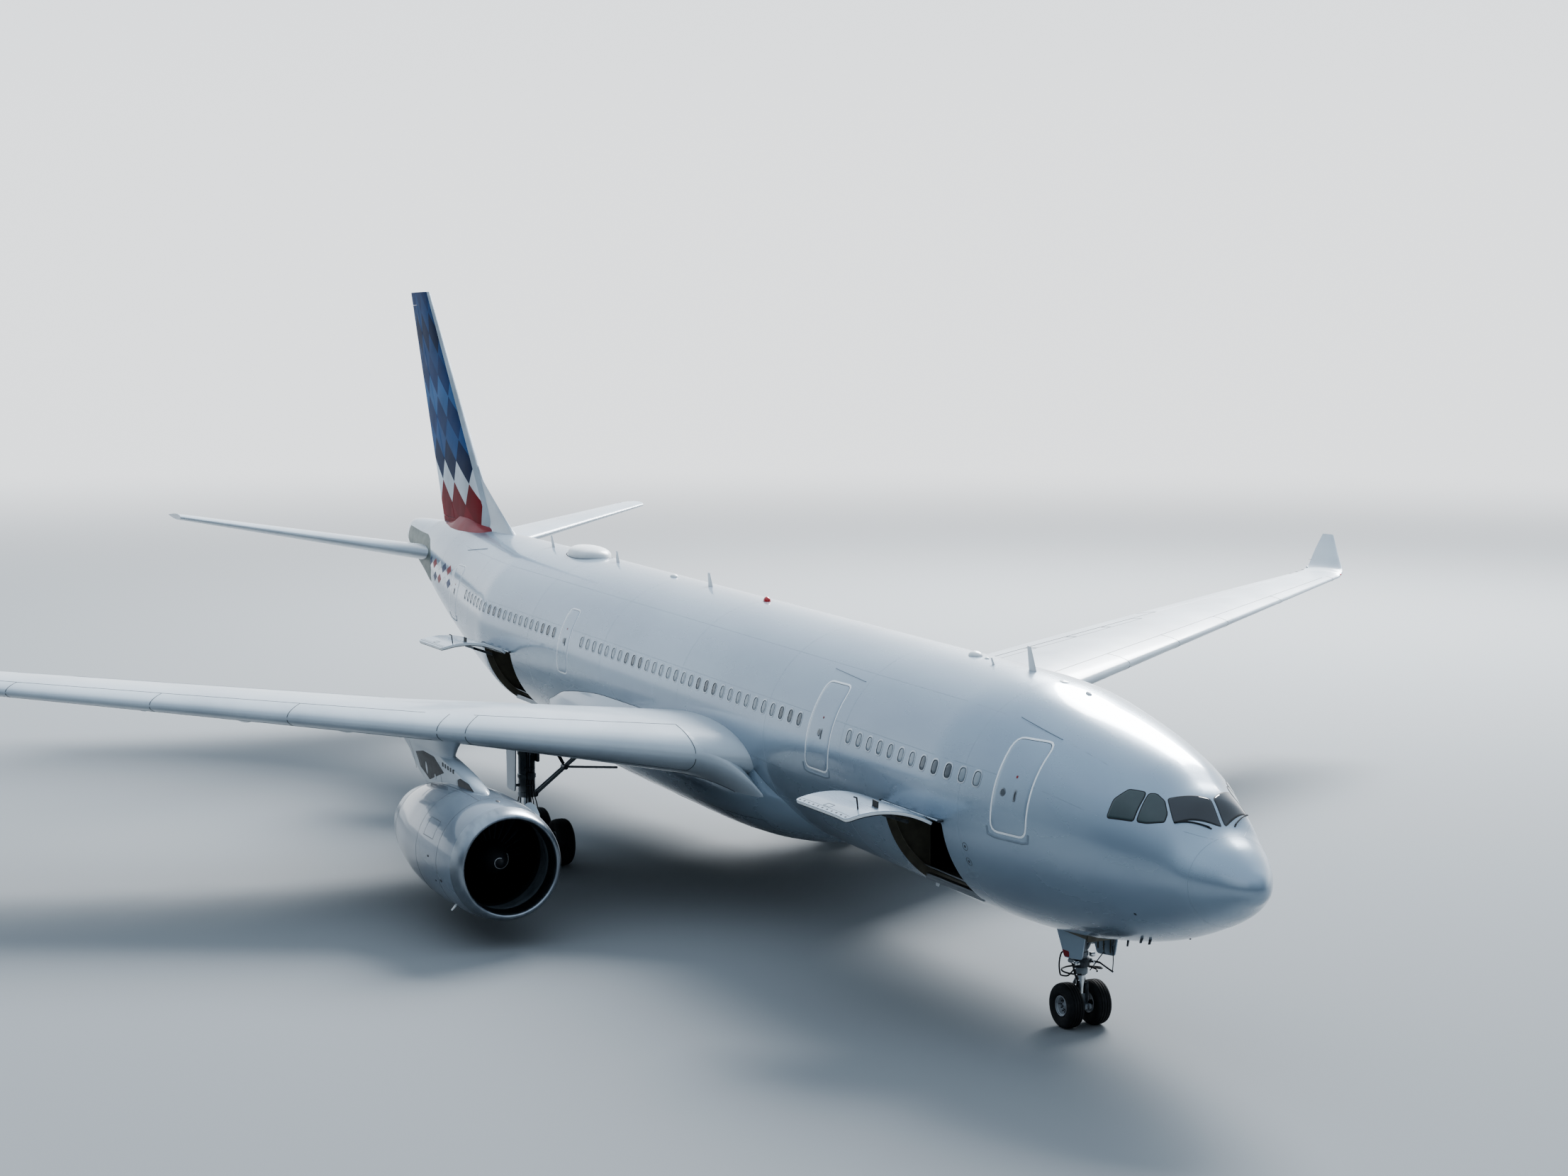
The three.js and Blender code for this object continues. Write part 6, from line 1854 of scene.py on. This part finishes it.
def mainGear(sideName, side):
    leg = gear["main"]
    s, y, hub = leg["s"], side * leg["y"], leg["radius"]
    axles = {"front": s - leg["wheelbase"] / 2, "rear": s + leg["wheelbase"] / 2}
    for end, at in axles.items():
        wheelPair(f"main_wheels_{sideName}_{end}", (at, y, hub), leg)
    # the leg: cylinder with its gland and collars, piston, and the fork on the bogie
    foot = (s, y, 0)
    case = [(1.93, 0), (1.93, 0.2), (1.95, 0.26), (2.08, 0.27), (2.1, 0.25), (2.5, 0.25), (2.52, 0.275),
        (2.62, 0.275), (2.64, 0.25), (3.2, 0.255), (3.22, 0.28), (3.32, 0.28), (3.34, 0.262), (4.3, 0.27),
        (4.3, 0)]
    parts = [turned(case, foot, 0, 32, (0, 0, 1)), rod((s, y, hub + 0.24), (s, y, 2.0), 0.17, 1, 32),
        turned([(hub + 0.24, 0), (hub + 0.24, 0.2), (hub + 0.42, 0.2), (hub + 0.46, 0.172),
        (hub + 0.46, 0)], foot, 0, 28, (0, 0, 1))]
    apex = (s + 0.46, y, 1.42)
    parts += link(apex, [(s + 0.16, y - 0.12, 1.08), (s + 0.16, y + 0.12, 1.08)], 0.04)
    parts += link(apex, [(s + 0.22, y - 0.13, 2.02), (s + 0.22, y + 0.13, 2.02)], 0.04)
    # side brace in two parts with its knuckle and lock links
    start, finish = array((s, y - side * 0.24, 2.0)), array((s - 0.1, side * 3.3, 3.45))
    knuckle = start + (finish - start) * 0.52
    for shift in (-0.08, 0.08):
        parts += [rod(start + (shift, 0, 0), knuckle + (shift, 0, 0), 0.05, 0, 12, 0.045),
            rod(knuckle + (shift * 0.6, 0, 0), finish + (shift * 1.4, 0, 0), 0.045, 0, 12, 0.055)]
    parts += [pin(knuckle, (0.15, 0, 0), 0.075, 2), pin(start, (0.15, 0, 0), 0.075, 2)]
    elbow = array((s, side * 2.45, 2.6))
    parts += [rod(knuckle, elbow, 0.035, 0, 10),
        rod(knuckle + (0.1, 0, 0.08), knuckle + (0.1, side * 0.3, 0.6), 0.05, 2, 10)]
    # rear strut with its ram, and the jack that levels the bogie
    low, high = array((s + 0.05, y, 2.55)), array((s + 0.9, y, 3.88))
    parts += [rod(low, low + (high - low) * 0.55, 0.075, 0, 14), rod(low, high, 0.05, 1, 12)]
    trim = array((s - 0.62, y, hub + 0.14)), array((s - 0.2, y, 1.98))
    parts += [rod(trim[0], trim[1], 0.04, 1, 12),
        rod(trim[0] + (trim[1] - trim[0]) * 0.4, trim[1], 0.065, 0, 12)]
    for z in (2.3, 3.5):
        parts += [rod((s, y, z), (s, y + side * 0.5, z), 0.045, 0, 12),
            rod((s, y + side * 0.42, z), (s, y + side * 0.5, z), 0.07, 2, 12)]
    # hoses down the front and rear of the leg, with clips
    for shift, reach in ((-0.1, 0), (-0.04, 0.04), (0.05, 0.02), (0.11, 0.06)):
        for way in (-1, 1):
            out = way * (0.3 + reach)
            parts.append(hose([(s + way * 0.26, y + shift, 3.7), (s + way * 0.28, y + shift, 2.9),
                (s + way * 0.29, y + shift, 2.2), (s + out * 1.25, y + shift * 1.6, 1.62),
                (s + way * 0.24, y + shift, 1.05)], 0.016))
    for z in (2.3, 2.8, 3.3):
        parts.append(block((s - 0.31, y - 0.14, z), (s - 0.24, y + 0.14, z + 0.04), 0.006, 2))
    parts += [block((s - 0.36, y - 0.09, 2.45), (s - 0.25, y + 0.09, 2.7), 0.02, 2),
        block((s - 0.3, y - side * 0.3, 3.0), (s - 0.12, y - side * 0.22, 3.3), 0.02, 2)]
    makePiece(f"main_leg_dressed_{sideName}", gearFinishes, parts, "gear_paint", f"main_leg_{sideName}")
    # bogie: a beam that swells at its pivot, axle sleeves, brakes and their rods
    beam = [(-1.14, 0), (-1.14, 0.1), (-1.1, 0.13), (-0.8, 0.12), (-0.4, 0.135), (-0.15, 0.165),
        (0.15, 0.165), (0.4, 0.135), (0.8, 0.12), (1.1, 0.13), (1.14, 0.1), (1.14, 0)]
    parts = [turned(beam, (s, y, hub), 0, 28, (1, 0, 0)),
        rod((s, y, hub), (s, y, hub + 0.24), 0.19, 0, 28), pin((s, y, hub + 0.02), (0, 0.24, 0), 0.09, 2)]
    for at in axles.values():
        reach = leg["track"] / 2 - leg["width"] / 2 - 0.015
        parts.append(pin((at, y, hub), (0, reach, 0), 0.135, 0, 24))
        for way in (-1, 1):
            face = y + way * (reach - 0.12)
            drum = [(0, 0), (0, 0.2), (0.02, 0.235), (0.05, 0.24), (0.055, 0.225), (0.075, 0.24),
                (0.08, 0.225), (0.1, 0.24), (0.115, 0.23), (0.115, 0)]
            parts.append(turned(drum, (at, face, hub), 2, 32, (0, way, 0)))
            for turn in arange(0, 2 * pi, pi / 4):
                spot = array((at + 0.17 * math.cos(turn), face, hub + 0.17 * math.sin(turn)))
                parts.append(rod(spot, spot - (0, way * 0.045, 0), 0.032, 2, 10))
            foot = (at, y + way * 0.3, hub - 0.19)
            parts.append(rod(foot, (s + (at - s) * 0.12, y + way * 0.24, hub - 0.12), 0.022, 0, 10))
        hoseEnd = s + (at - s) * 0.75
        parts.append(hose([(s + (at - s) * 0.1, y + 0.1, hub + 0.3),
            (s + (at - s) * 0.4, y + 0.16, hub + 0.28), (hoseEnd, y + 0.3, hub + 0.2),
            (at, y + 0.32, hub + 0.17)], 0.014, 16))
    makePiece(f"bogie_dressed_{sideName}", gearFinishes, parts, "gear_paint", f"bogie_{sideName}")
    # leg door with the ribs on its inside
    inner = y + side * 0.5
    corners = [(s - 0.5, 2.2), (s + 0.2, 2.2), (s + 0.3, 3.95), (s - 0.6, 3.95)]
    outline = roundedLoop(corners, 0.1, 4, 5)
    parts = [plate(upright(outline, inner + side * 0.012), (0, side * 0.036, 0), 0.012)]
    for z in (2.4, 2.8, 3.2, 3.6):
        parts.append(block((s - 0.47, inner, z), (s + 0.18, inner + side * 0.014, z + 0.05), 0.005, 1))
    for at in (s - 0.36, s + 0.02):
        parts.append(block((at, inner - side * 0.01, 2.3), (at + 0.05, inner + side * 0.014, 3.85), 0.005,
            1))
    makePiece(f"main_leg_door_panel_{sideName}", ("greyEnamel", "framePrimer"), parts, "grey_paint",
        f"main_leg_door_{sideName}")


def noseGear():
    leg = gear["nose"]
    s, hub = leg["s"], leg["radius"]
    under = float(centreline(s) + hullShape(s)[3])
    roof = under + 0.85
    foot = (s, 0, 0)
    wheelPair("nose_wheels", (s, 0, hub), leg)
    case = [(1.2, 0), (1.2, 0.13), (1.22, 0.155), (1.32, 0.16), (1.34, 0.15), (1.62, 0.15), (1.64, 0.17),
        (1.72, 0.17), (1.74, 0.152), (2.2, 0.155), (2.22, 0.18), (2.3, 0.18), (2.32, 0.165), (roof, 0.17),
        (roof, 0)]
    parts = [turned(case, foot, 0, 28, (0, 0, 1))]
    braceTop, braceFoot = array((s - 0.72, 0, roof - 0.15)), array((s - 0.1, 0, 1.8))
    for shift in (-0.1, 0.1):
        parts.append(rod(braceFoot + (0, shift, 0), braceTop + (0, shift * 2.2, 0), 0.035, 0, 12))
    for share in (0.25, 0.6):
        at = braceFoot + (braceTop - braceFoot) * share
        parts.append(pin(at, (0, 0.17, 0), 0.03, 2, 10))
    parts.append(pin((s, 0, under + 0.4), (0, 0.36, 0), 0.08))
    # steering jacks and collar
    for way in (-1, 1):
        parts += [rod((s - 0.1, way * 0.2, 1.5), (s + 0.16, way * 0.2, 1.5), 0.055, 0, 14),
            rod((s - 0.24, way * 0.2, 1.5), (s - 0.1, way * 0.2, 1.5), 0.028, 1, 12),
            rod((s + 0.16, way * 0.2, 1.5), (s + 0.2, way * 0.1, 1.5), 0.04, 2, 10)]
        lamp = array((s - 0.13, way * 0.24, 1.98))
        cup = [(0, 0), (0, 0.085), (0.02, 0.092), (0.08, 0.07), (0.12, 0.03), (0.12, 0)]
        parts += [turned(cup, lamp, 2, 24, (1, 0, 0)),
            turned([(-0.012, 0), (-0.01, 0.05), (0, 0.078), (0.004, 0.078), (0.004, 0)], lamp, 6, 24,
            (1, 0, 0)), rod(lamp + (0.06, 0, 0), (s, way * 0.1, 1.98), 0.025, 0, 8)]
    parts.append(turned([(1.38, 0), (1.38, 0.19), (1.4, 0.2), (1.56, 0.2), (1.58, 0.19), (1.58, 0)], foot,
        2, 28, (0, 0, 1)))
    # hose loops round the leg, and a curved bar with studs
    turn = linspace(-2.7, 2.3, 20)
    parts += [hose([(s + 0.06 + 0.4 * math.cos(t), 0.4 * math.sin(t), 1.27) for t in turn], 0.02, 60),
        rod((6.35, 0.3, 1.5), (5.82, 0.3, 1.41), 0.022, 2, 10),
        rod((s - 0.1, 0.2, 1.5), (6.35, 0.3, 1.5), 0.022, 2, 10),
        hose([(6.0, 0.4, 1.95), (5.92, 0.37, 1.7), (5.83, 0.3, 1.42)], 0.01, 12)]
    studs = [(6.4, -0.39, 1.56), (6.4, -0.35, 1.43), (6.4, -0.31, 1.29), (6.4, -0.25, 1.15)]
    parts.append(hose(studs, 0.032, 14))
    for stud in studs:
        parts.append(rod(array(stud) - (0.045, 0, 0), stud, 0.016, 1, 8))
    parts += [hose([(s + 0.1, -0.12, 1.66), (s + 0.12, -0.42, 1.72), (s + 0.12, -0.5, 1.45),
        (s + 0.12, -0.46, 1.2), (s + 0.1, -0.3, 1.16), (s + 0.08, -0.12, 1.3)], 0.018, 36),
        hose([(s - 0.12, 0.1, 1.4), (s - 0.2, 0.4, 1.32), (s - 0.05, 0.52, 1.3), (s + 0.1, 0.3, 1.32),
        (s + 0.1, 0.12, 1.4)], 0.016, 32),
        rod((s - 0.3, 0.42, under - 0.48), (s - 0.16, 0.14, 1.3), 0.012, 2, 8)]
    for shift in (-0.07, 0, 0.07):
        parts.append(hose([(s + 0.17, shift, roof - 0.1), (s + 0.19, shift, 2.2), (s + 0.18, shift, 1.62)],
            0.012, 12))
    for z, y in ((1.46, -0.22), (1.62, 0.2), (1.8, -0.18)):
        parts.append(block((s - 0.2, y - 0.05, z), (s - 0.1, y + 0.05, z + 0.09), 0.012, 1))
    makePiece("nose_leg_dressed", (*gearFinishes, "clearLens"), parts, "gear_paint", "nose_leg")
    # what turns with the wheels: piston, axle sleeve, torque links and towing lug
    parts = [rod((s, 0, hub), (s, 0, 1.2), 0.108, 1, 28),
        rod((s, 0, hub - 0.02), (s, 0, hub + 0.26), 0.135, 0, 28, 0.115),
        rod((6.2, -0.12, 1.16), (6.2, -0.1, 0.7), 0.018, 2, 8)]
    sleeve = leg["track"] / 2 - leg["width"] / 2 - 0.015
    parts.append(pin((s, 0, hub), (0, sleeve, 0), 0.115, 0, 24))
    apex = (s + 0.36, 0, hub + 0.32)
    parts += link(apex, [(s + 0.1, -0.07, hub + 0.1), (s + 0.1, 0.07, hub + 0.1)], 0.028)
    parts += link(apex, [(s + 0.1, -0.07, hub + 0.56), (s + 0.1, 0.07, hub + 0.56)], 0.028)
    parts += [block((s - 0.34, -0.085, hub - 0.06), (s - 0.05, 0.085, hub + 0.06), 0.02),
        turned([(-0.02, 0.03), (-0.02, 0.06), (0.02, 0.06), (0.02, 0.03)], (s - 0.3, 0, hub), 2, 20,
        (0, 1, 0), ring=True)]
    for way in (-1, 1):
        parts += [rod((s - 0.1, way * 0.09, hub + 0.05), (s - 0.08, way * 0.09, hub + 0.5), 0.018, 2, 8),
            rod((s + 0.02, way * 0.12, hub - 0.05), (s + 0.02, way * 0.12, hub + 0.22), 0.012, 2, 8)]
    makePiece("nose_steering_dressed", gearFinishes, parts, "gear_paint", "nose_steering",
        body="nose_steering")
    # doors and the well they close
    well = wellHalfWidth
    for sideName, side in sides.items():
        inner = side * (well - 0.045)
        corners = [(5.95, 1.72), (6.66, 1.63), (7.1, under + 0.2), (5.78, under + 0.2)]
        outline = roundedLoop(corners, 0.07, 5, 4)
        parts = [plate(upright(outline, inner), (0, side * 0.04, 0), 0.01)]
        for at in (6.08, 6.36, 6.6):
            parts.append(block((at, inner - side * 0.012, 1.76),
                (at + 0.04, inner + side * 0.004, under + 0.1), 0.004, 1))
        parts.append(block((5.92, inner - side * 0.012, under - 0.12),
            (6.85, inner + side * 0.004, under - 0.08), 0.004, 1))
        mark = roundedLoop([(6.44, 1.68), (6.64, 1.66), (6.74, 1.8), (6.46, 1.81)], 0.03, 3, 3)
        parts.append(plate(upright(mark, side * (well - 0.006)), (0, side * 0.004, 0), 0.003, 2))
        makePiece(f"nose_gear_door_panel_{sideName}", ("micaPaint", "framePrimer", "redEnamel"), parts,
            "grey_paint", f"nose_gear_door_{sideName}")
    low = under - 0.03
    walls = [block((5.7, -well, roof), (7.4, well, roof + 0.02)),
        block((5.68, -well, low), (5.7, well, roof)), block((7.4, -well, low + 0.02), (7.42, well, roof))]
    for way in (-1, 1):
        walls.append(block((5.7, way * well, low + 0.06), (7.4, way * (well + 0.02), roof)))
        for at in (5.95, 6.3, 7.05):
            walls.append(block((at, way * (well - 0.03), low + 0.2), (at + 0.03, way * well, roof), 0.005))
    makePiece("nose_wheel_well", "framePrimer", walls, "hold_lining")


for sideName, side in sides.items():
    mainGear(sideName, side)
noseGear()
print("landing gear made")

# Floor, light and camera

horizonGlow = 1.5


def horizonColour(tree, direction):
    # bright behind the aircraft and dimmer on the side it is seen from, by the direction's share
    # along the line of sight
    behind = addNode(tree, "ShaderNodeVectorMath", {"operation": "DOT_PRODUCT"},
        {0: direction, 1: (-0.435, 0.25, 0)})
    half = addNode(tree, "ShaderNodeMath", {"operation": "ADD"}, {0: behind.outputs["Value"], 1: 0.5})
    return ramp(tree, half.outputs[0],
        [(0, "#2b343d"), (0.42, "#414d59"), (0.75, "#d5dde4"), (1, "#f4f7fa")])


def floorFinish():
    # pale smooth screed; with the distance from the middle it turns from lit floor to the glow of
    # the horizon, so that floor and sky meet without a line
    material, tree = startFinish("pale_floor_screed")
    spot = addNode(tree, "ShaderNodeTexCoord")
    reach = addNode(tree, "ShaderNodeVectorMath", {"operation": "LENGTH"}, {0: spot.outputs["Object"]})
    outward = addNode(tree, "ShaderNodeVectorMath", {"operation": "NORMALIZE"}, {0: spot.outputs["Object"]})
    far = addNode(tree, "ShaderNodeMapRange", {"interpolation_type": "SMOOTHSTEP"},
        {"Value": reach.outputs["Value"], "From Min": 18.0, "From Max": 120.0})
    base = ramp(tree, far.outputs[0], [(0, "#8d9092"), (1, "#000000")])
    glow = addNode(tree, "ShaderNodeMath", {"operation": "MULTIPLY"}, {0: far.outputs[0], 1: horizonGlow})
    endFinish(tree, {"Base Color": base, "Roughness": spread(tree, cloudy(tree, 6.0), 0.6, 0.72),
        "Specular IOR Level": 0, "Emission Color": horizonColour(tree, outward.outputs[0]),
        "Emission Strength": glow.outputs[0]})
    return material


def studio():
    half = 1500.0
    mesh = bpy.data.meshes.new("floor")
    mesh.from_pydata([(-half, -half, 0), (half, -half, 0), (half, half, 0), (-half, half, 0)], [],
        [(0, 1, 2, 3)])
    mesh.materials.append(floorFinish())
    floor = bpy.data.objects.new("floor", mesh)
    bpy.context.scene.collection.objects.link(floor)
    world = bpy.data.worlds.new("soft_sky")
    bpy.context.scene.world = world
    world.use_nodes = True
    tree = world.node_tree
    tree.nodes.clear()
    spot = addNode(tree, "ShaderNodeTexCoord")
    parts = addNode(tree, "ShaderNodeSeparateXYZ", inputs={"Vector": spot.outputs["Generated"]})
    low = horizonColour(tree, spot.outputs["Generated"])
    up = addNode(tree, "ShaderNodeMapRange",
        inputs={"Value": parts.outputs["Z"], "From Min": 0.08, "From Max": 0.7})
    sky = addNode(tree, "ShaderNodeMix", {"data_type": "RGBA"},
        {0: up.outputs[0], 6: low, 7: hexColour("#c3d2e1")})
    back = addNode(tree, "ShaderNodeBackground", inputs={"Color": sky.outputs[2], "Strength": horizonGlow})
    addNode(tree, "ShaderNodeOutputWorld", inputs={"Surface": back.outputs[0]})
    for name, spotAt, target, size, power in [
        ("top_light", (-26, 34, 40), (-2, 0, 2), 30, 90000),
        ("front_light", (34, -26, 16), (4, 0, 2), 18, 300),
    ]:
        data = bpy.data.lights.new(name, "AREA")
        data.size = size
        data.energy = power
        lamp = bpy.data.objects.new(name, data)
        lamp.location = spotAt
        lamp.rotation_euler = (Vector(target) - Vector(spotAt)).to_track_quat("-Z", "Y").to_euler()
        bpy.context.scene.collection.objects.link(lamp)


viewpoint = dict(
    # from the wheels, tips, nose and inlet in the photograph: full-size metres, degrees
    at=(-39.338, -29.353, 15.3), heading=64.534, down=5.655, roll=0.116, focal=3453.7, width=2212,
)


def camera():
    data = bpy.data.cameras.new("camera")
    data.sensor_width = 36
    data.lens = viewpoint["focal"] / viewpoint["width"] * data.sensor_width
    data.clip_end = 2000
    eye = bpy.data.objects.new("camera", data)
    bpy.context.scene.collection.objects.link(eye)
    turn = Matrix.Rotation(math.radians(viewpoint["heading"]), 4, "Z")
    tilt = Matrix.Rotation(math.radians(90 - viewpoint["down"]), 4, "X")
    roll = Matrix.Rotation(math.radians(viewpoint["roll"]), 4, "Z")
    eye.matrix_world = Matrix.Translation(Vector(place(viewpoint["at"]))) @ turn @ tilt @ roll
    bpy.context.scene.camera = eye


studio()
camera()
bpy.context.scene.view_settings.look = "AgX - Medium High Contrast"
